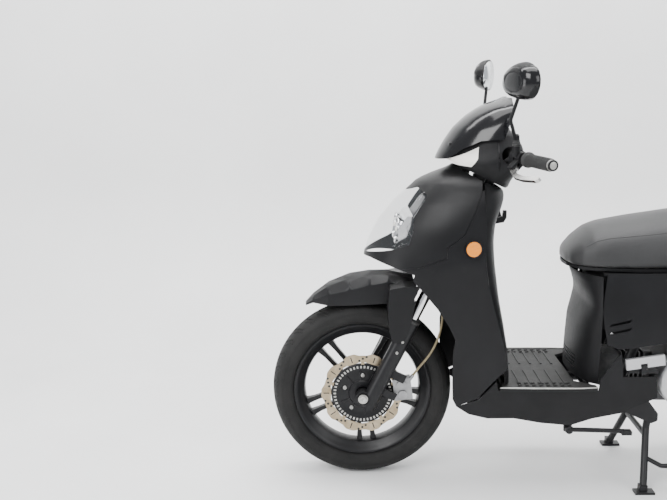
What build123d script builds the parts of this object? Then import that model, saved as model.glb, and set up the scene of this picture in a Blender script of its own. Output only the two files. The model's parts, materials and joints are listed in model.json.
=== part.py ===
"""Moped scooter with large wheels: step-through frame, telescopic fork, swinging engine unit.

Frame: +X forward, +Y to the rider's left, +Z up, millimetres. The origin is on the ground,
under the middle of the scooter. The scooter stands on its centre stand and front wheel.
"""

import os
from math import cos, hypot, radians, sin

from build123d import *

# ---------------------------------------------------------------- driving dimensions
FRONT_AXLE_X = 720.0
WHEELBASE = 1350.0
TYRE_RADIUS = 280.0
TYRE_WIDTH = 110.0
BEAD_RADIUS = 203.0
RIM_OPENING_RADIUS = 178.0
REAR_LIFT = 12.0
FOAM = 46.0
PIPE_RADIUS = 14.0
CAN_RADIUS = 38.0
MIRROR_CENTRE = (312.0, 296.0, 1237.0)
RAKE = 26.0
LEG_OFFSET = 33.0
AXLE_LEAD = 25.0
FORK_HALF = 100.0
FORK_TRAVEL = 50.0
STANCHION_RADIUS = 16.5
LOWER_RADIUS = 25.0
STEM_RADIUS = 15.0
HEAD_TUBE_RADIUS = 27.0
HEAD_BORE_RADIUS = 23.0
BAR_RADIUS = 11.0
GRIP_RADIUS = 17.0
GRIP_LENGTH = 125.0
FLOOR_Z = 340.0
PANEL = 3.0
RUN_CLEARANCE = 0.05
SEAT_GAP = 0.3
SWING_PIVOT = (-120.0, 268.0)
CRANK = (-255.0, 345.0)
CLUTCH = (-540.0, 330.0)
STAND_PIVOT = (-165.0, 215.0)
STAND_FORWARD = 34.0
SHOCK_Y = 108.0
SHOCK_TOP = (-600.0, 622.0)
SHOCK_FOOT = (-665.0, 335.0)
SHOCK_PIN_RADIUS = 6.5
LOWER_TOP = 281.0
CROWN_LOW, CROWN_HIGH = 402.0, 440.0
HEAD_LOW, HEAD_HIGH = 455.0, 650.0
STEM_HIGH = 800.0
BAR_END = (238.0, 345.0, 1022.0)
BAR_SWEEP = 16.5
RIM_HALF = 42.0
HUB_RADIUS = 33.0
WHEEL_AXLE_RADIUS = 8.0
SPOKE_PAIRS = 5
SPOKE_SPACING = 18.0
SPOKE_START = 31.0
DISC_Y = 66.0
DISC_RADIUS = 128.0
DISC_INNER = 95.0
DISC_THICK = 4.0
DISC_WAVES = 10
REAR_SHAFT_RADIUS = 11.0
SHAFT_REACH = 112.0
CALIPER_ANGLE = 172.0
CALIPER_REACH = 126.0
HOSE_RADIUS = 3.5
STEER_LOCK = 38.0
COVER_LOW = 759.0
COWL_HIGH = 750.0
LEVER_ALONG = 157.0
LEVER_REACH = 34.0
LEVER_PIN = 4.0
MIRROR_PIN = 6.0
MIRROR_BASE = (300.0, 190.0, 1040.0)
BUTTON_RADIUS = 6.0
BUTTON_ALONG = 185.0
MIRROR_YAW = 24.0
SWING_BOLT = 10.0
STAND_BOLT = 8.0
PLATE_IN, PLATE_OUT = 100.0, 108.0
SIDE_STAND_PIVOT = (92.0, 136.0, 188.0)
SIDE_STAND_PIN = 5.0
PEG_START = (-48.0, 186.0, 402.0)
PEG_PIN = 3.0
PEG_LENGTH = 118.0
SEAT_HINGE = (62.0, 676.0)
SEAT_PIN = 4.0
PLATE_HOLE_SPACING = 120.0
PLATE_HOLE_RADIUS = 3.3
PLATE_HOLE_Z = 530.0
DECK_X = -808.0
DECK_SPACING_X = 50.0
DECK_SPACING_Y = 120.0
DECK_HOLE_RADIUS = 3.3
CASE_RADIUS = 86.0
GEAR_RADIUS = 90.0
AXLE_BOSS = 46.0
CASE_WALL_IN, CASE_WALL_OUT = 64.0, 70.0
CASE_EDGE = 98.0
COVER_OUT = 148.0
PULLEY_SHAFT = 12.0
DRIVE_RADIUS, DRIVEN_RADIUS = 60.0, 68.0
BELT_IN, BELT_THICK = 36.0, 10.0
BELT_STEP = 12.0
BELT_Y = 117.0
FOOT_IN, FOOT_OUT = 84.0, 94.5
SHOCK_OPEN = 2.0

# ---------------------------------------------------------------- derived places
REAR_AXLE = (FRONT_AXLE_X - WHEELBASE, TYRE_RADIUS + REAR_LIFT)
RAKE_SIN, RAKE_COS = sin(radians(RAKE)), cos(radians(RAKE))
FORK_OFFSET = LEG_OFFSET + AXLE_LEAD
STEER = Plane(
    origin=(FRONT_AXLE_X - FORK_OFFSET * RAKE_COS, 0, TYRE_RADIUS - FORK_OFFSET * RAKE_SIN),
    x_dir=(RAKE_COS, 0, RAKE_SIN),
    z_dir=(-RAKE_SIN, 0, RAKE_COS),
)
BAR_DIR = (-sin(radians(BAR_SWEEP)), cos(radians(BAR_SWEEP)), 0.0)


# ---------------------------------------------------------------- helpers
def save(name, *shapes):
    """Writes every solid of the shapes as one node."""
    solids = [s for shape in shapes for s in shape.solids()]
    export_step(Compound(solids), f"parts/{name}.step")


def mirrored(shape):
    """The same piece on the right-hand side."""
    return mirror(shape, about=Plane.XZ)


def pair(shape):
    """The left piece and its mirror image as two solids."""
    return Compound(shape.solids() + mirrored(shape).solids())


def outline_xz(points, radius=0.0, shrink=0.0):
    """A closed outline in side view, with rounded corners, as a face on the plane Y = 0."""
    flat = [(x, z) for x, z in points]
    wire = FilletPolyline(*flat, radius=radius, close=True) if radius else Polyline(*flat, close=True)
    face = make_face(wire)
    if shrink:
        face = offset(face, amount=-shrink, kind=Kind.INTERSECTION)
    return Plane.XZ * face


def slab(points, y_low, y_high, radius=0.0, shrink=0.0):
    """A side-view outline with thickness across the scooter."""
    face = outline_xz(points, radius, shrink)
    return Pos(0, y_high, 0) * extrude(face, amount=y_high - y_low)


def plan(points, z_low, z_high, radius=0.0, shrink=0.0):
    """A top-view half outline, mirrored to both sides, as a vertical prism."""
    full = list(points) + [(x, -y) for x, y in reversed(points) if y]
    wire = FilletPolyline(*full, radius=radius, close=True) if radius else Polyline(*full, close=True)
    face = make_face(wire)
    if shrink:
        face = offset(face, amount=-shrink, kind=Kind.INTERSECTION)
    return Pos(0, 0, z_low) * extrude(face, amount=z_high - z_low)


def box(low, high):
    """A box between two corners."""
    size = [b - a for a, b in zip(low, high)]
    return Pos(*low) * Box(*size, align=(Align.MIN, Align.MIN, Align.MIN))


def rod(start, end, radius, bore=0.0):
    """A round bar or tube between two points."""
    path = Vector(*end) - Vector(*start)
    plane = Plane(origin=start, z_dir=path)
    bar = plane * extrude(Circle(radius), amount=path.length)
    if bore:
        bar -= plane * extrude(Circle(bore), amount=path.length)
    return bar


def bent_tube(points, radius, bend):
    """A round tube along straight runs joined by tangent bends."""
    path = FilletPolyline(*points, radius=bend)
    start = Plane(origin=path @ 0, z_dir=path % 0)
    return sweep(start * Circle(radius), path=path)


def turned(profile, centre):
    """A profile of (radius, y) points turned about the wheel or pulley axis at (x, z)."""
    face = make_face(Polyline(*[(r, y, 0) for r, y in profile], close=True))
    body = revolve(face, axis=Axis.Y)
    return Pos(centre[0], 0, centre[1]) * body


def side_disc(centre, radius, y_low, y_high):
    """A cylinder along Y."""
    return rod((centre[0], y_low, centre[1]), (centre[0], y_high, centre[1]), radius)


def fork_rod(u, v, low, high, radius, bore=0.0):
    """A round bar parallel to the steering axis, placed in steering coordinates."""
    bar = Pos(u, v, low) * Cylinder(radius, high - low, align=(Align.CENTER, Align.CENTER, Align.MIN))
    if bore:
        bar -= Pos(u, v, low) * Cylinder(bore, high - low, align=(Align.CENTER, Align.CENTER, Align.MIN))
    return bar


def shell_between(outer, inner):
    """What is left of the outer solid outside the inner one, largest piece only."""
    return max((outer - inner).solids(), key=lambda s: s.volume)


def inset(points, depth):
    """Half-outline points moved inwards by the panel thickness; the open end runs on."""
    result = []
    last = len(points) - 1
    for k, (x, y) in enumerate(points):
        before, after = points[max(k - 1, 0)], points[min(k + 1, last)]
        dx, dy = after[0] - before[0], after[1] - before[1]
        if k == 0:
            dx = 0.0
        length = hypot(dx, dy)
        side = 1 if points[0][0] > points[last][0] else -1
        result.append((x - side * dy / length * depth, y + side * dx / length * depth))
    tail = result[last]
    result[last] = (tail[0] + (14 if points[0][0] < points[last][0] else -14), tail[1])
    return result


def section(points, z):
    """A closed horizontal face: a smooth nose through the mirrored half outline, flat behind."""
    full = [(x, -y) for x, y in reversed(points[1:])] + list(points)
    curve = Spline(*full)
    face = make_face([curve, Line(curve @ 1, curve @ 0)])
    return Pos(0, 0, z) * face


def blend_value(before, low, high, after, t):
    """Smooth interpolation between low and high that also follows their neighbours."""
    slope_low, slope_high = (high - before) / 2, (after - low) / 2
    a = 2 * low - 2 * high + slope_low + slope_high
    b = 3 * high - 3 * low - 2 * slope_low - slope_high
    return ((a * t + b) * t + slope_low) * t + low


def finer(rows, steps=3):
    """The same sections with smoothly blended ones put between them."""
    result = []
    last = len(rows) - 1
    for k in range(last):
        around = [rows[max(k - 1, 0)], rows[k], rows[k + 1], rows[min(k + 2, last)]]
        for step in range(steps):
            t = step / steps
            z = rows[k][0] + (rows[k + 1][0] - rows[k][0]) * t
            points = []
            for column in zip(*[row[1] for row in around]):
                points.append(tuple(blend_value(*[p[axis] for p in column], t) for axis in (0, 1)))
            result.append((z, points))
    result.append(rows[last])
    return result


def panel_shell(rows, depth=PANEL):
    """A thin shell through horizontal sections, open below, above and at its flat end."""
    rows = finer(rows)
    outer = loft([section(points, z) for z, points in rows], ruled=True)
    inner_rows = [(z, inset(points, depth)) for z, points in rows]
    inner_rows[0] = (rows[0][0] - 0.5, inner_rows[0][1])
    inner_rows[-1] = (rows[-1][0] + 0.5, inner_rows[-1][1])
    inner = loft([section(points, z) for z, points in inner_rows], ruled=True)
    return shell_between(outer, inner)


# ---------------------------------------------------------------- wheels
TYRE_HALF = TYRE_WIDTH / 2


def tyre(centre):
    """Tubeless tyre: rounded tread, sidewalls and beads around an open air space."""
    crown, shoulder, wall = TYRE_RADIUS, TYRE_RADIUS - 17, TYRE_RADIUS - 40
    profile = [
        (crown, 0), (crown - 2, 20), (crown - 8, 36), (shoulder, 48), (wall, TYRE_HALF),
        (BEAD_RADIUS + 15, 49), (BEAD_RADIUS + 10.4, 41), (BEAD_RADIUS + 10.4, 36.6),
        (BEAD_RADIUS + SEAT_GAP, 36.6), (BEAD_RADIUS + SEAT_GAP, 27), (BEAD_RADIUS + 16, 34),
        (wall, 47), (shoulder - 6, 40), (crown - 16, 28), (crown - 10, 0),
    ]
    full = profile + [(r, -y) for r, y in reversed(profile) if y > 0]
    return turned(full, centre)


def cast_rim(centre, hub_low, hub_high, bore, solid_hub=False):
    """Cast wheel: drop-centre rim, five pairs of parallel spokes and a bored hub."""
    flange, well = BEAD_RADIUS + 10, RIM_OPENING_RADIUS + 5
    ring = turned(
        [
            (flange, RIM_HALF), (flange, RIM_HALF - 4), (BEAD_RADIUS, RIM_HALF - 5),
            (BEAD_RADIUS - 2, RIM_HALF - 18), (well, RIM_HALF - 24), (well, -RIM_HALF + 24),
            (BEAD_RADIUS - 2, -RIM_HALF + 18), (BEAD_RADIUS, -RIM_HALF + 5),
            (flange, -RIM_HALF + 4), (flange, -RIM_HALF), (RIM_OPENING_RADIUS + 12, -RIM_HALF),
            (RIM_OPENING_RADIUS, -RIM_HALF + 20), (RIM_OPENING_RADIUS, RIM_HALF - 20),
            (RIM_OPENING_RADIUS + 12, RIM_HALF),
        ],
        (0, 0),
    )
    hub = side_disc((0, 0), HUB_RADIUS, hub_low, hub_high)
    if not solid_hub:
        hub += side_disc((0, 0), 74, -9, 9) - side_disc((0, 0), 60, -10, 10)
    spokes = []
    for k in range(SPOKE_PAIRS):
        turn = Rot(0, -SPOKE_START - k * 360 / SPOKE_PAIRS, 0)
        for side in (-1, 1):
            middle = side * SPOKE_SPACING
            bar = box((middle - 6, -10, 22), (middle + 6, 10, RIM_OPENING_RADIUS + 3))
            spokes.append(turn * bar)
    wheel = ring + hub
    for spoke in spokes:
        wheel += spoke
    wheel -= side_disc((0, 0), bore, hub_low - 1, hub_high + 1)
    return Pos(centre[0], 0, centre[1]) * wheel


def wave_disc(centre):
    """Wave-edged brake disc with drilled holes, as one solid ring."""
    disc = side_disc((0, 0), DISC_RADIUS, DISC_Y, DISC_Y + DISC_THICK)
    disc -= side_disc((0, 0), DISC_INNER + RUN_CLEARANCE, DISC_Y - 1, DISC_Y + DISC_THICK + 1)
    step = 360 / DISC_WAVES
    for k in range(DISC_WAVES):
        notch = side_disc((0, DISC_RADIUS + 9), 14, DISC_Y - 1, DISC_Y + DISC_THICK + 1)
        hole = side_disc((0, (DISC_RADIUS + DISC_INNER) / 2), 4, DISC_Y - 1, DISC_Y + DISC_THICK + 1)
        disc -= Rot(0, k * step, 0) * notch
        disc -= Rot(0, (k + 0.5) * step, 0) * hole
    return Pos(centre[0], 0, centre[1]) * disc


def disc_carrier(centre):
    """Dark carrier that bolts the disc to the hub, with five windows."""
    carrier = side_disc((0, 0), DISC_INNER, DISC_Y - 4, DISC_Y + DISC_THICK + 2)
    carrier -= side_disc((0, 0), WHEEL_AXLE_RADIUS + 12, DISC_Y - 5, DISC_Y + 10)
    for k in range(5):
        window = box((-16, DISC_Y - 5, 36), (16, DISC_Y + 10, 58))
        carrier -= Rot(0, 36 + k * 72, 0) * window
    post = side_disc((0, 0), HUB_RADIUS - 4, RIM_HALF, DISC_Y - 4) - side_disc((0, 0), 20, 40, DISC_Y)
    return Pos(centre[0], 0, centre[1]) * (carrier + post)


FRONT_AXLE = (FRONT_AXLE_X, TYRE_RADIUS)


def front_wheel():
    save("front_tyre", tyre(FRONT_AXLE))
    save("front_rim", cast_rim(FRONT_AXLE, -RIM_HALF, RIM_HALF, WHEEL_AXLE_RADIUS + RUN_CLEARANCE))
    save("front_disc", wave_disc(FRONT_AXLE), disc_carrier(FRONT_AXLE))


def rear_wheel():
    """Rear wheel: tyre, rim pressed on the output shaft, and the brake disc on the right."""
    shaft = side_disc(REAR_AXLE, REAR_SHAFT_RADIUS, -SHAFT_REACH, SHAFT_REACH - 14)
    save("rear_tyre", tyre(REAR_AXLE))
    save("rear_rim", cast_rim(REAR_AXLE, -RIM_HALF, RIM_HALF, REAR_SHAFT_RADIUS))
    save("rear_disc", mirrored(wave_disc(REAR_AXLE)), mirrored(disc_carrier(REAR_AXLE)), shaft)


# ---------------------------------------------------------------- fork
def fork_lowers():
    """Cast lower legs with the axle bosses, caliper lugs and bores for the stanchions."""
    leg = fork_rod(LEG_OFFSET, 0, -22, LOWER_TOP, LOWER_RADIUS)
    toe = (Pos(LEG_OFFSET, 0) * Circle(22)).edges() + (Pos(FORK_OFFSET, 0) * Circle(22)).edges()
    bridge = Plane.XZ * make_hull(toe)
    leg += Pos(0, 14, 0) * extrude(bridge, amount=28)
    leg -= fork_rod(LEG_OFFSET, 0, 30, LOWER_TOP + 1, STANCHION_RADIUS + RUN_CLEARANCE)
    axle_hole = rod((FORK_OFFSET, -40, 0), (FORK_OFFSET, 40, 0), WHEEL_AXLE_RADIUS + RUN_CLEARANCE)
    leg -= axle_hole
    for side in (-1, 1):
        leg -= rod((FORK_OFFSET, side * 14.05, 0), (FORK_OFFSET, side * 40, 0), 18)
    left = Pos(0, FORK_HALF, 0) * leg
    right = Pos(0, -FORK_HALF, 0) * leg
    lug_high = Pos(-6, FORK_HALF - 5.4, 104) * Box(56, 8, 26)
    lug_low = Pos(-8, FORK_HALF - 5.4, 40) * Box(52, 8, 22)
    left += (lug_high + lug_low) - fork_rod(LEG_OFFSET, FORK_HALF, -20, LOWER_TOP, LOWER_RADIUS - 4)
    save("fork_lowers", STEER * left, STEER * right)


def front_axle():
    """Axle bolt with head, nut and the two hub spacers."""
    reach = FORK_HALF + 17
    bolt = rod((FORK_OFFSET, -reach, 0), (FORK_OFFSET, reach, 0), WHEEL_AXLE_RADIUS)
    head_face = Plane(origin=(FORK_OFFSET, reach - 3, 0), z_dir=(0, 1, 0))
    nut_face = Plane(origin=(FORK_OFFSET, -reach + 3, 0), z_dir=(0, -1, 0))
    head = extrude(head_face * RegularPolygon(13, 6), amount=9)
    nut = extrude(nut_face * RegularPolygon(13, 6), amount=9)
    spacers = []
    near, far = RIM_HALF + SEAT_GAP, FORK_HALF - 14 - SEAT_GAP
    for low, high in ((near, far), (-far, -near)):
        spacer = rod((FORK_OFFSET, low, 0), (FORK_OFFSET, high, 0), 13, WHEEL_AXLE_RADIUS + RUN_CLEARANCE)
        spacers.append(STEER * spacer)
    save("front_axle", STEER * (bolt + head + nut), *spacers)


def front_caliper():
    """Two-piston caliper that straddles the disc behind the left leg, with its two pads."""
    place = Pos(FRONT_AXLE_X, 0, TYRE_RADIUS) * Rot(0, -CALIPER_ANGLE, 0) * Pos(CALIPER_REACH, 0, 0)
    body, pads = caliper_solids()
    banjo = rod((582, 78, 320), (566, 80, 343), 5.5)
    save("front_caliper", place * body + banjo, *[place * p for p in pads])


def front_brake_hose():
    """Brake hose from the caliper round behind the wheel and up to its clip on the fork crown."""
    route = [
        (565.8, 80, 343.4), (546, 84, 372), (518, 88, 408), (494, 88, 455),
        (480, 78, 505), (478, 66, 560), (490.2, 60, 612.2),
    ]
    save("front_brake_hose", bent_tube(route, HOSE_RADIUS, 24))


def fork_upper():
    """Stanchions, and the steering stem with its lower crown."""
    tubes = []
    for side in (-1, 1):
        tubes.append(STEER * fork_rod(LEG_OFFSET, side * FORK_HALF, 100, CROWN_HIGH, STANCHION_RADIUS, 12))
    save("fork_stanchions", *tubes)
    crown = Pos(14, 0, (CROWN_LOW + CROWN_HIGH) / 2) * Box(62, 2 * FORK_HALF - 20, CROWN_HIGH - CROWN_LOW)
    for side in (-1, 1):
        crown += fork_rod(LEG_OFFSET, side * FORK_HALF, CROWN_LOW, CROWN_HIGH, STANCHION_RADIUS + 9)
        crown -= fork_rod(LEG_OFFSET, side * FORK_HALF, CROWN_LOW - 1, CROWN_HIGH + 1, STANCHION_RADIUS)
    crown += fork_rod(0, 0, CROWN_LOW, STEM_HIGH, STEM_RADIUS)
    crown -= fork_rod(0, 0, CROWN_LOW - 1, STEM_HIGH + 1, STEM_RADIUS - 4)
    save("steering_stem", STEER * crown)


def head_bearings():
    """Upper and lower steering bearings between the head tube and the stem."""
    rings = []
    for low, high in ((HEAD_LOW, HEAD_LOW + 12), (HEAD_HIGH - 12, HEAD_HIGH)):
        ring = fork_rod(0, 0, low, high, HEAD_BORE_RADIUS - RUN_CLEARANCE, STEM_RADIUS + RUN_CLEARANCE)
        rings.append(STEER * ring)
    save("head_bearings", *rings)


# ---------------------------------------------------------------- front fender
def fender_section(x, top, crease, low, half):
    """One cross-section of the fender, square to the X axis."""
    points = [(-half, low), (-half - 3, crease), (-half * 0.55, top - 0.25 * (top - crease)), (0, top)]
    full = points + [(-y, z) for y, z in reversed(points[:-1])]
    face = make_face(Polyline(*full, close=True))
    return Plane(origin=(x, 0, 0), x_dir=(0, 1, 0), z_dir=(1, 0, 0)) * face


FENDER_ROWS = [
    (896, 556, 553, 546, 12), (872, 583, 570, 560, 34), (825, 620, 590, 555, 52),
    (761, 647, 606, 558, 60), (700, 657, 622, 562, 63), (643, 656, 632, 566, 64), (566, 640, 628, 585, 62),
]


def front_fender():
    """Peaked fender over the tyre with an arm down the front of each fork leg."""
    outer = loft([fender_section(*row) for row in FENDER_ROWS], ruled=True)
    inner_rows = []
    for x, top, corner, low, half in FENDER_ROWS:
        inner_rows.append((x, top - PANEL - 1, corner - PANEL - 1, low - 12, max(half - PANEL, 4)))
    inner_rows[0] = (FENDER_ROWS[0][0] - 5, 551, 549, 535, 9)
    inner_rows[-1] = (FENDER_ROWS[-1][0] - 4,) + inner_rows[-1][1:]
    inner = loft([fender_section(*row) for row in inner_rows], ruled=True)
    dome = shell_between(outer, inner)
    arm_side = [
        (648, 560), (646, 527), (640, 487), (634, 460), (606, 462), (590, 480), (578, 522),
        (569, 572), (560, 606), (562, 634), (600, 634), (644, 626),
    ]
    arm = slab(arm_side, 56, 128, 8)
    arm -= slab(arm_side, 50, 124, 4, 4)
    arm -= STEER * fork_rod(LEG_OFFSET, FORK_HALF, 150, 500, LOWER_RADIUS + SEAT_GAP)
    arm -= STEER * Pos(0, 0, 450) * Box(124, 400, 210)
    arm = max(arm.solids(), key=lambda s: s.volume)
    dome -= STEER * Pos(0, 0, 450) * Box(124, 400, 210)
    fender = dome + arm + mirrored(arm)
    fender -= STEER * fork_rod(LEG_OFFSET, FORK_HALF, 150, 500, LOWER_RADIUS + SEAT_GAP)
    fender -= STEER * fork_rod(LEG_OFFSET, -FORK_HALF, 150, 500, LOWER_RADIUS + SEAT_GAP)
    save("front_fender", max(fender.solids(), key=lambda s: s.volume))


def fender_keep_out():
    """Space the fender sweeps when the fork is compressed and turned to either lock."""
    rows = [(62, 400), (154, 384), (235, 336), (301, 268), (345, 190)]
    rise = FORK_TRAVEL + 8
    points = [(u, w + rise) for u, w in rows] + [(345, 100), (62, 100)]
    face = Plane.XZ * make_face(Polyline(*points, close=True))
    half_turn = STEER_LOCK + 20
    wedge = revolve(Rot(0, 0, -half_turn) * face, axis=Axis.Z, revolution_arc=2 * half_turn)
    return STEER * wedge


def above_steer(level):
    """Everything above a plane square to the steering axis."""
    return STEER * Pos(0, 0, level) * Box(1500, 1200, 900, align=(Align.CENTER, Align.CENTER, Align.MIN))


# ---------------------------------------------------------------- front bodywork
COWL_ROWS = [
    (200, [(719, 0), (706, 45), (640, 120), (520, 160), (430, 160), (290, 168)]),
    (420, [(719, 0), (706, 45), (640, 125), (520, 172), (430, 178), (290, 186)]),
    (690, [(719, 0), (704, 50), (632, 132), (510, 176), (430, 186), (340, 192)]),
    (740, [(710, 0), (692, 54), (614, 132), (505, 172), (425, 184), (345, 191)]),
    (814, [(677, 0), (657, 56), (584, 126), (495, 162), (402, 175), (345, 180)]),
    (877, [(628, 0), (609, 55), (548, 114), (472, 146), (394, 162), (345, 166)]),
    (914, [(585, 0), (567, 52), (518, 102), (455, 132), (390, 148), (345, 152)]),
    (944, [(547, 0), (532, 46), (492, 88), (440, 114), (388, 128), (345, 132)]),
    (985, [(452, 0), (446, 30), (425, 58), (400, 78), (372, 90), (345, 94)]),
]
LENS_SIDE = [
    (740, 716), (706, 722), (640, 742), (590, 765), (578, 800), (574, 842), (552, 878),
    (536, 903), (560, 921), (612, 900), (660, 860), (740, 780),
]
COWL_SIDE = [
    (740, 640), (660, 640), (620, 690), (560, 700), (483, 732), (483, 761), (435, 799),
    (405, 862), (383, 922), (376, 990), (470, 990), (560, 960), (740, 830),
]
FAIRING_SIDE = [
    (620, 690), (590, 671), (552, 633), (506, 579), (471, 525), (452, 485), (458, 450),
    (457, 350), (454, 298), (442, 274), (380, 300), (330, 362), (295, 400), (306, 454),
    (326, 525), (343, 583), (364, 663), (374, 739), (371, 814), (376, 925), (382, 922),
    (404, 862), (434, 798), (482, 760), (482, 731), (560, 699),
]
SHIELD_ROWS = [
    (346, [(276, 0), (277, 60), (280, 110), (286, 150), (300, 173)]),
    (406, [(281, 0), (282, 60), (285, 110), (291, 152), (304, 177)]),
    (480, [(290, 0), (291, 60), (295, 112), (303, 157), (317, 179)]),
    (600, [(312, 0), (313, 60), (319, 115), (332, 159), (350, 180)]),
    (740, [(328, 0), (330, 60), (339, 115), (354, 157), (371, 179)]),
    (817, [(324, 0), (326, 55), (336, 105), (352, 146), (372, 169)]),
    (870, [(304, 0), (307, 50), (320, 95), (342, 134), (372, 158)]),
    (907, [(301, 0), (305, 45), (320, 85), (342, 120), (372, 142)]),
    (940, [(330, 0), (332, 40), (341, 75), (354, 100), (372, 118)]),
]


def front_bodywork():
    """Nose cowl, headlamp lens, side fairings and the inner shield."""
    shell = panel_shell(COWL_ROWS)
    shell -= above_steer(COWL_HIGH)
    keep_out = fender_keep_out()
    cowl = shell & slab(COWL_SIDE, -300, 300)
    cowl -= slab(LENS_SIDE, -300, 300)
    cowl -= keep_out
    lens = shell & slab(LENS_SIDE, -300, 300)
    save("front_cowl", max(cowl.solids(), key=lambda s: s.volume))
    save("headlamp_lens", max(lens.solids(), key=lambda s: s.volume))
    fairing = shell & slab(FAIRING_SIDE, 40, 300)
    fairing -= keep_out
    fairing = max(fairing.solids(), key=lambda s: s.volume)
    liner = arch_liner()
    save("side_fairings", fairing, mirrored(fairing), liner)
    shield = panel_shell(SHIELD_ROWS)
    shield -= above_steer(COWL_HIGH)
    shield = max(shield.solids(), key=lambda s: s.volume)
    save("leg_shield", shield, lock_body(), bag_hook())


def arch_liner():
    """Inner wheel arch: a wall around the back of the front wheel, under the head tube."""
    arc = [(418, 590), (398, 520), (388, 440), (386, 360), (392, 290)]
    back = [(x - 3, z + 1) for x, z in reversed(arc)]
    return slab(arc + back, -158, 158)


def lock_body():
    """Ignition lock barrel in the inner shield."""
    barrel = rod((290, -72, 822), (345, -72, 806), 15)
    return barrel - rod((280, -72, 825), (298, -72, 820), 10)


def bag_hook():
    """Hook for a bag below the top of the inner shield."""
    arm = slab([(326, 800), (292, 806), (284, 820), (284, 842), (294, 842), (296, 824), (326, 816)], -7, 7)
    return arm


def lamp_reflector():
    """Two-bowl headlamp reflector and its housing behind the lens."""
    block = slab([(575, 746), (618, 746), (618, 800), (592, 838), (575, 838)], -84, 84)
    for side in (-1, 1):
        block -= Pos(626, side * 42, 790) * Sphere(40)
        block += rod((578, side * 42, 790), (604, side * 42, 790), 8)
    save("headlamp_reflector", block)


def side_reflectors():
    """Round reflectors on the edge of the leg shield."""
    face = rod((410, 188, 762), (409, 196, 763), 25)
    save("side_reflectors", face, mirrored(face))


# ---------------------------------------------------------------- handlebar and its covers
GRIP_FACE = Plane(origin=BAR_END, x_dir=(0, 0, 1), z_dir=BAR_DIR)


def on_bar(low, high, radius, bore=0.0):
    """A sleeve on the left bar end, measured outwards along the grip axis from the bar tip."""
    sleeve = Pos(0, 0, low) * Cylinder(radius, high - low, align=(Align.CENTER, Align.CENTER, Align.MIN))
    if bore:
        hole = Cylinder(bore, high - low + 2, align=(Align.CENTER, Align.CENTER, Align.MIN))
        sleeve -= Pos(0, 0, low - 1) * hole
    return GRIP_FACE * sleeve


def handlebar():
    """Bar tube swept back to the grips, its socket on the stem and the end weights."""
    inner = [BAR_END[k] - BAR_DIR[k] * 205 for k in range(3)]
    left = [tuple(BAR_END), tuple(inner), (312.0, 62.0, 985.0)]
    right = [(x, -y, z) for x, y, z in reversed(left)]
    bar = bent_tube(left + right, BAR_RADIUS, 25)
    socket = fork_rod(0, 0, 768, 812, STEM_RADIUS + 6) - fork_rod(0, 0, 760, STEM_HIGH + 0.2, STEM_RADIUS)
    socket = STEER * socket
    weight = on_bar(-1, 13, GRIP_RADIUS - 2)
    bar += rod((306, 0, 985), (266.3, 0, 985), 7)
    save("handlebar", bar + socket + weight + mirrored(weight))


def grips():
    """Left grip and the turning throttle grip on the right."""
    left = on_bar(-GRIP_LENGTH - 3, -2, GRIP_RADIUS, BAR_RADIUS + SEAT_GAP)
    left += on_bar(-GRIP_LENGTH - 7, -GRIP_LENGTH - 3, GRIP_RADIUS + 5, BAR_RADIUS + SEAT_GAP)
    save("left_grip", left)
    right = on_bar(-GRIP_LENGTH - 3, -2, GRIP_RADIUS, BAR_RADIUS + RUN_CLEARANCE)
    right += on_bar(-GRIP_LENGTH - 7, -GRIP_LENGTH - 3, GRIP_RADIUS + 5, BAR_RADIUS + RUN_CLEARANCE)
    save("throttle_grip", mirrored(right))


CLOSE_DIR = Vector(-0.959 * 0.72, -0.284 * 0.72, 0.694).normalized()
PIVOT_AXIS = Vector(*BAR_DIR).cross(CLOSE_DIR).normalized()
LEVER_PIVOT = Vector(*BAR_END) - Vector(*BAR_DIR) * LEVER_ALONG - CLOSE_DIR * LEVER_REACH
LEVER_PLANE = Plane(origin=LEVER_PIVOT, x_dir=BAR_DIR, z_dir=PIVOT_AXIS)
PRESS_DIR = Vector(-0.959, -0.284, 0.0)


def controls():
    """Clamped perches with lever ears, mirror sockets and switch housings."""
    perch = on_bar(-LEVER_ALONG - 13, -LEVER_ALONG + 13, 19, BAR_RADIUS)
    block = LEVER_PLANE * box((-12, -12, -11), (12, LEVER_REACH - 10, 11))
    block -= LEVER_PLANE * box((-40, -40, -5.3), (40, 15, 5.3))
    block += LEVER_PLANE * Cylinder(LEVER_PIN, 22)
    boss = rod((MIRROR_BASE[0], MIRROR_BASE[1], 1026), (MIRROR_BASE[0], MIRROR_BASE[1], 1056), 11)
    switch = on_bar(-BUTTON_ALONG - 13, -BUTTON_ALONG + 14, 22)
    perch = perch + block + boss + switch
    perch -= on_bar(-230, -100, BAR_RADIUS)
    socket_low = (MIRROR_BASE[0], MIRROR_BASE[1], MIRROR_BASE[2] - 2)
    socket_high = (MIRROR_BASE[0], MIRROR_BASE[1], MIRROR_BASE[2] + 20)
    perch -= rod(socket_low, socket_high, MIRROR_PIN + RUN_CLEARANCE)
    centre = Vector(*BAR_END) - Vector(*BAR_DIR) * BUTTON_ALONG
    well_low, well_high = centre + PRESS_DIR * 12.5, centre + PRESS_DIR * 30
    perch -= rod(tuple(well_low), tuple(well_high), BUTTON_RADIUS + RUN_CLEARANCE)
    button = rod(tuple(centre + PRESS_DIR * 16.5), tuple(centre + PRESS_DIR * 25), BUTTON_RADIUS)
    save("hand_controls", perch, mirrored(perch))
    save("horn_button", button)
    save("starter_button", mirrored(button))


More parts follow.
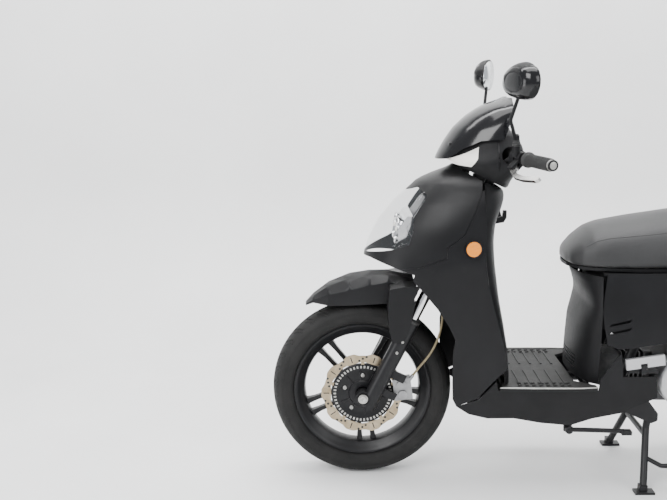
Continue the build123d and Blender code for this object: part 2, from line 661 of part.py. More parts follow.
def brake_levers():
    """Curved lever blades on their pivot pins, one for each hand."""
    side = [
        (-10, -9), (14, -21), (50, -34), (95, -35), (135, -30), (158, -27), (167, -22), (167, -14), (158, -11),
        (135, -16), (95, -22), (52, -20), (24, -6), (10, 9), (-8, 10),
    ]
    blade = extrude(make_face(Polyline(*side, close=True)), amount=5, both=True)
    blade = fillet(blade.edges().filter_by(Axis.Z).group_by(Axis.X)[-1], 3)
    blade -= Cylinder(LEVER_PIN + RUN_CLEARANCE, 30)
    lever = LEVER_PLANE * blade
    save("brake_lever_left", lever)
    save("brake_lever_right", mirrored(lever))


def mirrors():
    """Teardrop mirrors on thin stems that turn in the perch sockets."""
    base = (MIRROR_BASE[0], MIRROR_BASE[1], 1038.5)
    pin = rod(base, (base[0], base[1], 1072), MIRROR_PIN)
    boot = rod((base[0], base[1], 1057), (base[0] + 2, base[1] + 2, 1086), 9)
    stem = bent_tube([(base[0], base[1], 1066), (base[0] + 26, base[1] + 34, 1130), (314, 268, 1200)], 5, 30)
    outline = [(-70, -22), (-40, -42), (30, -46), (62, -20), (66, 12), (48, 38), (0, 48), (-50, 36), (-72, 6)]
    yaw_sin, yaw_cos = sin(radians(MIRROR_YAW)), cos(radians(MIRROR_YAW))
    plane = Plane(origin=MIRROR_CENTRE, x_dir=(-yaw_sin, yaw_cos, 0), z_dir=(-yaw_cos, -yaw_sin, 0))
    front = [(x * 0.55, y * 0.55) for x, y in outline]
    cup = loft([
        plane * Pos(0, 0, -30) * make_face(Spline(*front, periodic=True)),
        plane * Pos(0, 0, -8) * make_face(Spline(*[(x * 0.94, y * 0.94) for x, y in outline], periodic=True)),
        plane * Pos(0, 0, 8) * make_face(Spline(*outline, periodic=True)),
    ])
    mirror_left = pin + boot + stem + cup
    mirror_left = max(mirror_left.solids(), key=lambda s: s.volume)
    save("mirror_left", mirror_left)
    save("mirror_right", mirrored(mirror_left))


COVER_FRONT_ROWS = [
    (922, [(392, 0), (386, 40), (368, 76), (350, 94), (336.6, 98)]),
    (960, [(452, 0), (443, 48), (414, 94), (372, 120), (336.6, 126)]),
    (1000, [(484, 0), (473, 55), (438, 106), (384, 134), (336.6, 140)]),
    (1040, [(474, 0), (462, 48), (424, 90), (372, 115), (336.6, 122)]),
    (1075, [(447, 0), (436, 43), (402, 82), (362, 105), (336.6, 110)]),
    (1100, [(420, 0), (411, 36), (386, 68), (358, 88), (336.6, 94)]),
]
COVER_REAR_ROWS = [
    (922, [(286, 0), (289, 36), (300, 68), (318, 90), (336, 98)]),
    (975, [(264, 0), (266, 48), (276, 92), (300, 122), (336, 130)]),
    (1035, [(252, 0), (254, 52), (264, 96), (292, 120), (336, 126)]),
    (1075, [(276, 0), (277, 48), (286, 82), (306, 102), (336, 110)]),
    (1100, [(300, 0), (301, 40), (307, 64), (320, 84), (336, 94)]),
]
VISOR_ROWS = [
    (996, [(508, 0), (496, 48), (458, 92), (402, 120), (300, 128)]),
    (1044, [(487, 0), (475, 50), (438, 95), (386, 122), (298, 130)]),
    (1092, [(456, 0), (444, 48), (408, 92), (360, 118), (296, 126)]),
    (1128, [(418, 0), (407, 46), (374, 86), (335, 108), (292, 116)]),
    (1158, [(371, 0), (361, 40), (338, 72), (312, 90), (288, 98)]),
    (1186, [(305, 0), (302, 14), (297, 26), (290, 36), (284, 42)]),
]
VISOR_SIDE = [
    (540, 1003), (506, 1002), (476, 1008), (436, 1038), (387, 1063), (322, 1069), (296, 1140),
    (290, 1182), (330, 1184), (420, 1150), (540, 1060),
]
LAMP_SIDE = [(480, 1004), (447, 992), (413, 989), (396, 1012), (391, 1045), (425, 1028)]
DASH = [(414, 0), (404, 34), (380, 64), (340, 92), (314, 86), (299, 68), (292, 42), (289, 0)]


def bar_covers():
    """Two-piece handlebar cover, the front turn lamps, the dash and the flyscreen."""
    passage = on_bar(-300, -150, 25)
    passage = passage + mirrored(passage)
    front = panel_shell(COVER_FRONT_ROWS) & above_steer(COVER_LOW)
    lamps = front & slab(LAMP_SIDE, 50, 200)
    lamps = max(lamps.solids(), key=lambda s: s.volume)
    front -= slab(LAMP_SIDE, -200, 200)
    front -= passage
    dash = plan(DASH, 1085, 1093)
    front -= plan(DASH, 1085, 1093)
    save("bar_cover_front", max(front.solids(), key=lambda s: s.volume))
    save("turn_lamps", lamps, mirrored(lamps))
    rear = panel_shell(COVER_REAR_ROWS) & above_steer(COVER_LOW)
    rear = max((rear - passage).solids(), key=lambda s: s.volume)
    rear = rear + dash
    save("bar_cover_rear", max(rear.solids(), key=lambda s: s.volume))
    visor = panel_shell(VISOR_ROWS, PANEL + 1) & slab(VISOR_SIDE, -300, 300)
    visor = max(visor.solids(), key=lambda s: s.volume)
    for side in (-1, 1):
        visor += rod((457.2, side * 55, 1047), (471, side * 55, 1050), 5)
    save("visor", max(visor.solids(), key=lambda s: s.volume))


# ---------------------------------------------------------------- main frame
RAIL_POINTS = [
    (352, 120, 268), (-30, 120, 268), (-95, 134, 470), (-150, 138, 610), (-430, 138, 648), (-640, 112, 660),
    (-850, 48, 672),
]
SIDE_STAND_AXIS = Vector(0.259, -0.966, 0.0).normalized()
PEG_AXIS = Vector(-0.989, 0.0, 0.149).normalized()


def main_frame():
    """Head tube, down tube, twin rails, pivot plates, brackets and pins."""
    frame = STEER * fork_rod(0, 0, HEAD_LOW, HEAD_HIGH, HEAD_TUBE_RADIUS)
    frame += bent_tube([(432, 0, 742), (374, 0, 560), (352, 0, 268)], 20, 60)
    frame += rod((352, -125, 268), (352, 125, 268), 15)
    rail = bent_tube(RAIL_POINTS, 15, 50)
    plate_side = [
        (-14, 254), (-14, 290), (-90, 292), (-140, 288), (-186, 228), (-186, 204), (-166, 196), (-60, 244),
    ]
    plate = slab(plate_side, PLATE_IN, PLATE_OUT, 8)
    eye_x, eye_z = SHOCK_TOP
    top_eye = box((eye_x - 12, SHOCK_Y - 21, eye_z - 11), (eye_x + 12, SHOCK_Y - 14, 655))
    top_eye += box((eye_x - 12, SHOCK_Y + 14, eye_z - 11), (eye_x + 12, SHOCK_Y + 19, 655))
    top_pin = side_disc(SHOCK_TOP, SHOCK_PIN_RADIUS, SHOCK_Y - 18, SHOCK_Y + 19)
    peg_arm = box((-150, 118, 384), (-62, 179, 395))
    floor_posts = box((110, 110, 276), (130, 130, 329.7)) + box((240, 110, 276), (260, 130, 329.7))
    box_post = box((-210, 127, 618), (-190, 149, 669.7))
    left = rail + plate + top_eye + top_pin + floor_posts + box_post + peg_arm
    frame += left
    frame += mirrored(left)
    frame += rod((0, -120, 268), (0, 120, 268), 12)
    frame += rod((-455, -136, 649), (-455, 136, 649), 12)
    frame += rod((-846, -50, 672), (-846, 50, 672), 12)
    frame += box((-854, -20, 672), (-838, 20, 716.6))
    frame += side_disc(SWING_PIVOT, SWING_BOLT, -PLATE_OUT, PLATE_OUT)
    frame += side_disc(STAND_PIVOT, STAND_BOLT, -PLATE_OUT, PLATE_OUT)
    frame += rod((430, 0, 770), (573.0, 0, 792), 9)
    frame += rod((500, -162.2, 782), (500, 162.2, 782), 6)
    frame += rod((380, 0, 545), (306.4, 0, 545), 8)
    lug = box((80, 111, 176), (104, 121, 262))
    frame += lug
    start = Vector(*SIDE_STAND_PIVOT)
    frame += rod(tuple(start + SIDE_STAND_AXIS * 18), tuple(start - SIDE_STAND_AXIS * 7), SIDE_STAND_PIN)
    for sign in (-1, 1):
        a = Vector(PEG_START[0], sign * PEG_START[1], PEG_START[2])
        frame += rod(tuple(a + PEG_AXIS * 20), tuple(a + PEG_AXIS * 96), PEG_PIN)
        frame += box((-110.5, min(sign * 170, sign * 190), 384), (-97, max(sign * 170, sign * 190), 411.5))
    frame -= STEER * fork_rod(0, 0, HEAD_LOW - 60, HEAD_HIGH + 60, HEAD_BORE_RADIUS)
    save("main_frame", max(frame.solids(), key=lambda s: s.volume))


# ---------------------------------------------------------------- floor, lower covers, rear bodywork
LOWER_ROWS = [
    (195, [(700, 0), (660, 80), (520, 128), (400, 142), (200, 148), (0, 148), (-190, 142)]),
    (300, [(700, 0), (660, 90), (520, 148), (400, 168), (200, 177), (0, 178), (-190, 172)]),
    (460, [(700, 0), (660, 100), (520, 160), (400, 184), (200, 192), (0, 190), (-190, 184)]),
]
LOWER_SIDE = [
    (440, 270), (403, 245), (345, 231), (268, 233), (185, 217), (95, 208), (30, 233), (-52, 252),
    (-98, 278), (-155, 306), (-146, 374), (-46, 374), (-36, 448), (-20, 430), (20, 366), (24, 329.5),
    (320, 329.5), (327, 358), (377, 297),
]
FLOOR = [
    (284, 0), (290, 110), (306, 160), (316, 186), (141, 190),
    (40, 190), (26, 184), (26, 160), (84, 120), (84, 0),
]
FRONT_COVER_ROWS = [
    (341, [(76, 0), (73, 55), (62, 98), (42, 130), (17.2, 147)]),
    (416, [(74, 0), (71, 58), (60, 103), (42, 134), (17.2, 152)]),
    (467, [(71, 0), (68, 58), (58, 104), (42, 137), (17.2, 157)]),
    (506, [(67, 0), (64, 58), (55, 104), (40, 136), (17.2, 156)]),
    (557, [(52, 0), (50, 58), (44, 102), (34, 133), (17.2, 154)]),
    (583, [(48, 0), (46, 58), (41, 100), (33, 130), (17.2, 151)]),
    (643, [(71, 0), (66, 50), (54, 90), (38, 119), (17.2, 142.5)]),
    (666, [(80, 0), (74, 46), (58, 84), (40, 112), (17.2, 139)]),
]
BODY_ROWS = [
    (440, [(-905, 0), (-890, 40), (-800, 92), (-600, 140), (-400, 166), (-200, 182), (-60, 180), (18, 158)]),
    (560, [(-925, 0), (-910, 42), (-820, 94), (-620, 142), (-400, 165), (-200, 177), (-60, 170), (18, 154)]),
    (724, [(-935, 0), (-920, 42), (-830, 92), (-620, 136), (-400, 156), (-200, 162), (-60, 152), (18, 130)]),
]
BODY_SIDE = [
    (17, 668), (17, 470), (-32, 456), (-164, 478), (-400, 520), (-700, 612), (-880, 676), (-945, 700),
    (-945, 716), (-700, 700), (-400, 690), (-162, 684), (-23, 680), (17, 676),
]


def floor_and_body():
    """Footboard, lower covers, the panel under the seat nose and the rear side panels."""
    board = plan(FLOOR, 330, FLOOR_Z)
    for k in range(5):
        rib = box((112 + k * 34, 30, FLOOR_Z - 1), (118 + k * 34, 150, FLOOR_Z + 2))
        board += rib
        board += mirrored(rib)
    save("floorboard", board)
    lower = panel_shell(LOWER_ROWS) & slab(LOWER_SIDE, 90, 300)
    lower = max(lower.solids(), key=lambda s: s.volume)
    under = [(400, 258), (352, 248.4), (268, 243), (185, 224), (95, 215)]
    belly = slab(under + [(x, z + 4) for x, z in reversed(under)], -110, 110)
    save("lower_covers", lower, mirrored(lower), belly)
    front = panel_shell(FRONT_COVER_ROWS)
    for k in range(4):
        slot = box((60, -70, 366 + 11 * k), (90, 70, 371 + 11 * k))
        front -= slot
    save("seat_front_cover", max(front.solids(), key=lambda s: s.volume))
    body = panel_shell(BODY_ROWS) & slab(BODY_SIDE, -300, 300)
    body = max(body.solids(), key=lambda s: s.volume)
    for k in range(2):
        z = 498 + 24 * k
        vent = slab([(-2, z), (-8, z + 8), (-66, z + 25), (-58, z + 15)], -300, 300)
        body -= vent
    save("side_panels", max(body.solids(), key=lambda s: s.volume))


def helmet_box():
    """Open-topped luggage box under the seat, with the seat hinge lugs."""
    outer_side = [(10, 676), (10, 505), (-50, 478), (-330, 478), (-345, 560), (-422, 600), (-422, 676)]
    bay = slab(outer_side, -118, 118)
    bay -= slab([(x, z) for x, z in outer_side[:-1]] + [(-422, 676)], -115, 115, 0, 3)
    bay -= box((-418, -115, 640), (7, 115, 700))
    rim = box((-430, -150, 670), (-418, 150, 676))
    rim += box((-430, 115, 670), (14, 148, 676)) + box((-430, -148, 670), (14, -115, 676))
    bay += rim & slab([(20, 600), (-440, 600), (-440, 700), (20, 700)], -136, 136)
    lug_tip = SEAT_HINGE[0] + 8
    for y in (-26, 18):
        bay += slab([(8, 660), (8, 676), (52, 684), (lug_tip, 680), (lug_tip, 668), (50, 664)], y, y + 8)
    pin = side_disc(SEAT_HINGE, SEAT_PIN, -26, 26)
    save("helmet_box", bay + pin)


def fuel_tank():
    """Moulded tank between the floor rails."""
    side = [(300, 318), (300, 262), (60, 240), (60, 318)]
    tank = slab(side, -104.4, 104.4, 12) - slab(side, -100.4, 100.4, 8, 4)
    save("fuel_tank", tank)


def tail_parts():
    """Tail lamp, number plate carrier and the rear grab rail with its carrier plate."""
    lamp = slab([(-812, 717), (-925, 717), (-938, 734), (-910, 762), (-824, 762)], -78, 78, 6)
    save("tail_lamp", lamp)
    guard_side = [
        (-828, 652), (-843, 656), (-908, 598), (-1000, 556), (-1000, 400), (-996, 400), (-996, 549), (-902, 590),
    ]
    guard = slab(guard_side, -60, 60)
    plate = box((-1000, -88, 400), (-996, 88, 552))
    bracket = guard + plate
    for side in (-1, 1):
        y = side * PLATE_HOLE_SPACING / 2
        bracket -= rod((-1010, y, PLATE_HOLE_Z), (-980, y, PLATE_HOLE_Z), PLATE_HOLE_RADIUS)
    save("plate_bracket", bracket)
    left = [(-640, 116, 675.9), (-644, 121, 716), (-704, 128, 758), (-790, 112, 792), (-846, 46, 800)]
    right = [(x, -y, z) for x, y, z in reversed(left)]
    rail = bent_tube(left + right, 11, 24)
    deck = box((-850, -100, 795), (-770, 100, 803))
    rail += deck
    for x in (DECK_X - DECK_SPACING_X / 2, DECK_X + DECK_SPACING_X / 2):
        for y in (-DECK_SPACING_Y / 2, DECK_SPACING_Y / 2):
            rail -= rod((x, y, 780), (x, y, 820), DECK_HOLE_RADIUS)
    save("grab_rail", rail)


# ---------------------------------------------------------------- engine unit


def hull_of(circles, grow=0.0):
    """The convex outline around circles given as (centre, radius) in side view."""
    edges = []
    for (x, z), radius in circles:
        edges += (Pos(x, z) * Circle(radius + grow)).edges()
    return Plane.XZ * make_hull(edges)


def hull_slab(circles, y_low, y_high, grow=0.0):
    """The convex outline with thickness across the scooter."""
    return Pos(0, y_high, 0) * extrude(hull_of(circles, grow), amount=y_high - y_low)


CASE_CIRCLES = [(CRANK, CASE_RADIUS), (CLUTCH, GEAR_RADIUS)]
AXLE_CIRCLES = [(CLUTCH, 60.0), (REAR_AXLE, AXLE_BOSS)]


def engine_case():
    """Crankcase, cylinder with fins, drive case, gearbox, right arm and the rear caliper."""
    drum = side_disc(CRANK, 84, -80, CASE_WALL_IN) - side_disc(CRANK, 74, -72, CASE_WALL_IN - 8)
    wall = hull_slab(CASE_CIRCLES, CASE_WALL_IN, CASE_EDGE)
    wall -= hull_slab(CASE_CIRCLES, CASE_WALL_OUT, CASE_EDGE + 1, -6)
    gear = hull_slab(AXLE_CIRCLES, CASE_WALL_IN, 94) - hull_slab([(REAR_AXLE, 34), (CLUTCH, 40)], 72, 88)
    barrel = rod((-200, 0, 350), (-60, 0, 356), 44, 29)
    head = box((-76, -46, 310), (-12, 46, 402)) - box((-68, -34, 322), (-30, 34, 390))
    barrel += head
    for k in range(6):
        x = -150 + 14 * k
        fin = box((x, -54, 296), (x + 4, 54, 408)) - rod((-200, 0, 350), (-50, 0, 356), 36)
        barrel += fin
    lug = box((-268, -60, 254), (SWING_PIVOT[0], 60, 280)) + side_disc(SWING_PIVOT, 17, -96, 96)
    lug -= box((-262, -52, 262), (-150, 52, 300))
    arm_side = [
        (-318, 392), (-225, 392), (-225, 300), (-420, 276), (-622, 262), (-672, 292), (-640, 330), (-420, 362),
    ]
    arm = slab(arm_side, -90, -78, 14)
    bridge = box((-308, -90, 306), (-232, -70, 386)) - box((-300, -86, 314), (-240, -60, 378))
    boss = side_disc(REAR_AXLE, 27, -110, -86)
    case = drum + wall + gear + barrel + lug + arm + bridge + boss
    caliper = Pos(REAR_AXLE[0], 0, REAR_AXLE[1]) * Rot(0, -60, 0) * Pos(CALIPER_REACH, 0, 0)
    body, pads = caliper_solids()
    body = caliper * mirrored(body)
    link = Pos(REAR_AXLE[0], 0, REAR_AXLE[1]) * Rot(0, -60, 0) * box((60, -92, -20), (150, -84, 20))
    case += body + link
    for side in (1, -1):
        foot_low, foot_high = sorted((side * FOOT_IN, side * FOOT_OUT))
        pin_low, pin_high = sorted((side * FOOT_IN, side * (SHOCK_Y + 14)))
        foot_x, foot_z = SHOCK_FOOT
        foot = side_disc(SHOCK_FOOT, 18, foot_low, foot_high)
        pin = side_disc(SHOCK_FOOT, SHOCK_PIN_RADIUS, pin_low, pin_high)
        base_side = [(foot_x - 16, foot_z), (foot_x + 16, foot_z), (-642, 300), (-662, 270)]
        base = slab(base_side, foot_low, foot_high)
        case += foot + pin + base
    case -= side_disc(SWING_PIVOT, SWING_BOLT + RUN_CLEARANCE, -120, 120)
    case -= side_disc(REAR_AXLE, REAR_SHAFT_RADIUS + RUN_CLEARANCE, -130, 120)
    case -= side_disc(CRANK, PULLEY_SHAFT + RUN_CLEARANCE, 50, 80)
    case -= side_disc(CLUTCH, PULLEY_SHAFT + RUN_CLEARANCE, 60, CASE_EDGE)
    case -= side_disc(REAR_AXLE, 40, 30, CASE_WALL_IN)
    save("engine_case", max(case.solids(), key=lambda s: s.volume), *[caliper * mirrored(p) for p in pads])


def caliper_solids():
    """Caliper body and its two pads, centred on the disc edge at the origin, disc on the left."""
    body = box((-30, DISC_Y - 16, -34), (26, DISC_Y + DISC_THICK + 14, 34))
    body -= box((-40, DISC_Y - 5, -40), (14, DISC_Y + DISC_THICK + 5, 40))
    for z in (-16, 16):
        body += side_disc((-4, z), 14, DISC_Y + DISC_THICK + 12, DISC_Y + DISC_THICK + 20)
    pads = []
    for low in (DISC_Y - 4.6, DISC_Y + DISC_THICK + 0.6):
        pads.append(box((-26, low, -26), (0, low + 4, 26)))
    return body, pads


def drive():
    """Drive pulley on the crankshaft, driven pulley, belt and the outer drive cover."""
    def pulley(centre, rim, start):
        profile = [
            (0, start), (PULLEY_SHAFT, start), (PULLEY_SHAFT, 96), (rim, 103), (rim, BELT_Y - 10),
            (24, BELT_Y - 5), (24, BELT_Y + 5), (rim, BELT_Y + 10), (rim, 131), (PULLEY_SHAFT, 138), (0, 138),
        ]
        return turned(profile, centre)

    save("drive_pulley", pulley(CRANK, DRIVE_RADIUS, 58))
    save("driven_pulley", pulley(CLUTCH, DRIVEN_RADIUS, 66))
    loop_out = [(CRANK, BELT_IN + BELT_THICK), (CLUTCH, BELT_IN + BELT_STEP + BELT_THICK)]
    loop_in = [(CRANK, BELT_IN), (CLUTCH, BELT_IN + BELT_STEP)]
    belt = hull_slab(loop_out, BELT_Y - 6, BELT_Y + 6) - hull_slab(loop_in, BELT_Y - 8, BELT_Y + 8)
    save("drive_belt", belt)
    cover = hull_slab(CASE_CIRCLES, CASE_EDGE + 0.3, COVER_OUT)
    cover = fillet(cover.faces().sort_by(Axis.Y)[-1].edges(), 12)
    cover -= hull_slab(CASE_CIRCLES, CASE_EDGE, COVER_OUT - 4, -4)
    cover += side_disc(CRANK, 52, COVER_OUT - 3, COVER_OUT + 3)
    cover -= side_disc(CRANK, 44, COVER_OUT, COVER_OUT + 5)
    cover -= hull_slab([(SHOCK_FOOT, 30)], 90, 160)
    save("cvt_cover", max(cover.solids(), key=lambda s: s.volume))


def intake_and_exhaust():
    """Air filter box over the drive case; header pipe and silencer on the right."""
    side = [(-420, 425.4), (-432, 505), (-470, 520), (-586, 514), (-592, 440), (-560, 419.6)]
    filter_box = slab(side, 78, 148, 6) - slab(side, 81, 145, 0, 3)
    save("air_filter_box", filter_box)
    route = [(-46, -44, 330), (-62, -92, 326), (-140, -124, 322), (-260, -168, 312), (-378, -184, 306)]
    header = bent_tube(route, PIPE_RADIUS, 24)
    header -= box((-76.3, -46.3, 280), (-11, 60, 420))
    front_end, rear_end = (-362, -184, 306), (-800, -184, 322)
    can = rod(front_end, rear_end, CAN_RADIUS)
    tail = rod((-795, -184, 322), (-832, -184, 324), 20)
    strap = box((-560, -160, 296), (-520, -90.2, 318))
    exhaust = header + can + tail + strap
    exhaust -= bent_tube(route, PIPE_RADIUS - 1.6, 24)
    exhaust -= rod((-365, -184, 306.1), (-797, -184, 321.9), CAN_RADIUS - 1.8)
    exhaust -= rod((-790, -184, 321.7), (-840, -184, 324.4), 16)
    save("exhaust", max(exhaust.solids(), key=lambda s: s.volume))


# ---------------------------------------------------------------- shock absorbers
SHOCK_LENGTH = hypot(SHOCK_TOP[0] - SHOCK_FOOT[0], SHOCK_TOP[1] - SHOCK_FOOT[1])
SHOCK_DIR = ((SHOCK_FOOT[0] - SHOCK_TOP[0]) / SHOCK_LENGTH, 0, (SHOCK_FOOT[1] - SHOCK_TOP[1]) / SHOCK_LENGTH)


def along_shock(distance):
    """A point on the left shock absorber, measured down from its top eye."""
    return (SHOCK_TOP[0] + SHOCK_DIR[0] * distance, SHOCK_Y, SHOCK_TOP[1] + SHOCK_DIR[2] * distance)


def shocks():
    """Damper bodies, rods and coil springs on both sides of the rear wheel."""
    eye = side_disc(SHOCK_TOP, 13, SHOCK_Y - 12, SHOCK_Y + 12)
    body = rod(along_shock(8), along_shock(150), 14, 6.05) + rod(along_shock(20), along_shock(26), 24)
    upper = eye + body - side_disc(SHOCK_TOP, SHOCK_PIN_RADIUS + RUN_CLEARANCE, SHOCK_Y - 20, SHOCK_Y + 20)
    upper -= rod(along_shock(40), along_shock(160), 6.05)
    upper = max(upper.solids(), key=lambda s: s.volume)
    save("shock_uppers", upper, mirrored(upper))
    low_eye = side_disc(SHOCK_FOOT, 16, SHOCK_Y - 12, SHOCK_Y + 12)
    lower = rod(along_shock(125), along_shock(SHOCK_LENGTH - 10), 6) + low_eye
    lower += rod(along_shock(SHOCK_LENGTH - 34), along_shock(SHOCK_LENGTH - 12), 12)
    lower += rod(along_shock(SHOCK_LENGTH - 34), along_shock(SHOCK_LENGTH - 30), 24)
    lower -= side_disc(SHOCK_FOOT, SHOCK_PIN_RADIUS + SHOCK_OPEN, SHOCK_Y - 20, SHOCK_Y + 20)
    save("shock_lowers", lower, mirrored(lower))
    start, stop = 27.5, SHOCK_LENGTH - 35.5
    height = stop - start
    coil = Helix(pitch=height / 9, height=height, radius=20)
    wire = sweep(Plane(origin=coil @ 0, z_dir=coil % 0) * Circle(3.4), path=coil, is_frenet=True)
    place = Plane(origin=along_shock(start + 1.8), z_dir=Vector(*SHOCK_DIR))
    spring = place * scale(wire, (1, 1, (height - 8) / height))
    save("shock_springs", spring, mirrored(spring))


# ---------------------------------------------------------------- stands, pegs and seat
STAND_FOOT = (STAND_PIVOT[0] + STAND_FORWARD, 178.0)


def stands():
    """Centre stand, deployed, and side stand, folded back."""
    tube = side_disc(STAND_PIVOT, 13, -96, 96)
    leg_path = [
        (STAND_PIVOT[0], 82, STAND_PIVOT[1]),
        (STAND_PIVOT[0] + 5, 84, 172),
        (STAND_FOOT[0] - 2, STAND_FOOT[1] - 3, 12),
    ]
    leg = bent_tube(leg_path, 11, 14)
    foot = box((STAND_FOOT[0] - 34, STAND_FOOT[1] - 17, 0), (STAND_FOOT[0] + 26, STAND_FOOT[1] + 15, 7))
    foot += box((STAND_FOOT[0] - 12, STAND_FOOT[1] - 14, 4), (STAND_FOOT[0] + 12, STAND_FOOT[1] + 8, 26))
    half = leg + foot
    brace_x = STAND_PIVOT[0] + 6
    stand = tube + half + mirrored(half) + rod((brace_x, -90, 150), (brace_x, 90, 150), 9)
    tread_path = [(brace_x + 8, 128, 92), (brace_x - 26, 168, 84), (brace_x - 76, 186, 92)]
    tread = bent_tube(tread_path, 7, 12)
    stand += tread
    stand -= side_disc(STAND_PIVOT, STAND_BOLT + RUN_CLEARANCE, -120, 120)
    save("centre_stand", max(stand.solids(), key=lambda s: s.volume))
    start = Vector(*SIDE_STAND_PIVOT)
    eye = rod(tuple(start + SIDE_STAND_AXIS * 5), tuple(start - SIDE_STAND_AXIS * 5), 13)
    side = bent_tube([(92, 136, 188), (40, 138, 188), (-70, 150, 189)], 7, 30)
    pad = box((-92, 140, 180), (-62, 162, 192))
    side = eye + side + pad
    near, far = start + SIDE_STAND_AXIS * 30, start - SIDE_STAND_AXIS * 30
    side -= rod(tuple(near), tuple(far), SIDE_STAND_PIN + RUN_CLEARANCE)
    save("side_stand", max(side.solids(), key=lambda s: s.volume))


def pegs():
    """Fold-down passenger foot pegs along the body sides."""
    plane = Plane(origin=PEG_START, x_dir=PEG_AXIS, z_dir=(0, 1, 0))
    for name, flip in (("peg_left", False), ("peg_right", True)):
        peg = plane * box((4, -5.5, -5.5), (PEG_LENGTH, 27, 5.5))
        near, far = Vector(*PEG_START) - PEG_AXIS * 10, Vector(*PEG_START) + PEG_AXIS * 140
        peg -= rod(tuple(near), tuple(far), PEG_PIN + RUN_CLEARANCE)
        peg -= plane * box((46, -8, -40), (66, 8, 40))
        peg = max(peg.solids(), key=lambda s: s.volume)
        save(name, mirrored(peg) if flip else peg)


SEAT_ROWS = [
    (113, 36, 690, 722), (98, 84, 690, 742), (70, 112, 690, 772), (35, 126, 690, 801), (0, 134, 690, 814),
    (-90, 146, 691, 828), (-200, 148, 692, 842), (-300, 146, 693, 854), (-345, 143, 694, 874),
    (-400, 139, 695, 902), (-480, 128, 696, 910), (-580, 108, 698, 906), (-640, 98, 699, 902),
    (-700, 84, 700, 888), (-742, 58, 702, 856),
]


def seat_section(x, half, low, top):
    """One cross-section of the cushion."""
    rise = top - low
    right = [(half, low), (half + 4, low + 0.4 * rise), (half * 0.8, top - 0.1 * rise)]
    full = right + [(0, top)] + [(-y, z) for y, z in reversed(right)]
    curve = Spline(*full)
    face = make_face([curve, Line(curve @ 1, curve @ 0)])
    return Plane(origin=(x, 0, 0), x_dir=(0, 1, 0), z_dir=(1, 0, 0)) * face


def hollow_section(x, half, low, top):
    """One cross-section of the hollow moulded into the underside of the cushion."""
    middle = (low + top) / 2
    outline = [(half, low), (half, middle), (half - 25, top), (25 - half, top), (-half, middle), (-half, low)]
    face = make_face(Polyline(*outline, close=True))
    return Plane(origin=(x, 0, 0), x_dir=(0, 1, 0), z_dir=(1, 0, 0)) * face


def seat():
    """Hinged seat: a stiff pan below and a stepped two-person cushion."""
    half = [
        (108, 0), (104, 40), (80, 92), (30, 118), (-90, 138), (-280, 138),
        (-420, 124), (-580, 100), (-640, 92), (-700, 78), (-736, 46), (-738, 0),
    ]
    pan = plan(half, 681, 689.6)
    pan -= plan([(x - 6 if x > 0 else x + 6, max(y - 8, 0)) for x, y in half], 670, 685)
    for y in (-16, 10):
        pan += box((SEAT_HINGE[0] - 10, y, 674), (SEAT_HINGE[0] + 10, y + 6, 687))
        pan += side_disc(SEAT_HINGE, 9, y, y + 6)
    pan -= side_disc(SEAT_HINGE, SEAT_PIN + RUN_CLEARANCE, -40, 40)
    save("seat_base", max(pan.solids(), key=lambda s: s.volume))
    cushion = loft([seat_section(*row) for row in SEAT_ROWS])
    hollow_rows = []
    for x, width, low, top in SEAT_ROWS[4:-2]:
        hollow_rows.append((x, width - FOAM, 670, top - FOAM))
    cushion -= loft([hollow_section(*row) for row in hollow_rows], ruled=True)
    save("seat_cushion", max(cushion.solids(), key=lambda s: s.volume))


if __name__ == "__main__":
    os.makedirs("parts", exist_ok=True)
    front_wheel()
    rear_wheel()
    fork_lowers()
    front_axle()
    front_caliper()
    front_brake_hose()
    fork_upper()
    head_bearings()
    front_fender()
    front_bodywork()
    lamp_reflector()
    side_reflectors()
    handlebar()
    grips()
    controls()
    brake_levers()
    mirrors()
    bar_covers()
    main_frame()
    floor_and_body()
    helmet_box()
    fuel_tank()
    tail_parts()
    engine_case()
    drive()
    intake_and_exhaust()
    shocks()
    stands()
    pegs()
    seat()
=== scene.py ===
import json
from math import cos, pi, radians, sin

import bmesh
import bpy
from mathutils import Matrix, Vector


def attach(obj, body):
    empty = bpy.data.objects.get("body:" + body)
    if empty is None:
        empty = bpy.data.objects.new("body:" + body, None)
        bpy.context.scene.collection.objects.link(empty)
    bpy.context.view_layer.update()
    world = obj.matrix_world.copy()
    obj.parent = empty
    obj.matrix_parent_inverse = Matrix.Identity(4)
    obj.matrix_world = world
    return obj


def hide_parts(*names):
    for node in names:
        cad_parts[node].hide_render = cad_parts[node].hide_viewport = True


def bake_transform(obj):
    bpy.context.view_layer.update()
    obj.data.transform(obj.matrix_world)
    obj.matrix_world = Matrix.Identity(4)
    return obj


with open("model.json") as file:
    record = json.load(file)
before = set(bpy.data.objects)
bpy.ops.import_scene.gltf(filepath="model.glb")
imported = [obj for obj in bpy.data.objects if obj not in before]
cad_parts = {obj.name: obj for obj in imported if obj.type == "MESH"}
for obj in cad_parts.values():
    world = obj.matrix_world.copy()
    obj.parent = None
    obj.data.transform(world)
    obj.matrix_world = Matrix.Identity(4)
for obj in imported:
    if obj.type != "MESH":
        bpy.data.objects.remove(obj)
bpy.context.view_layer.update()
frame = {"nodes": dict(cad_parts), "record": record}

NODES = frame["nodes"]
MM = 0.001
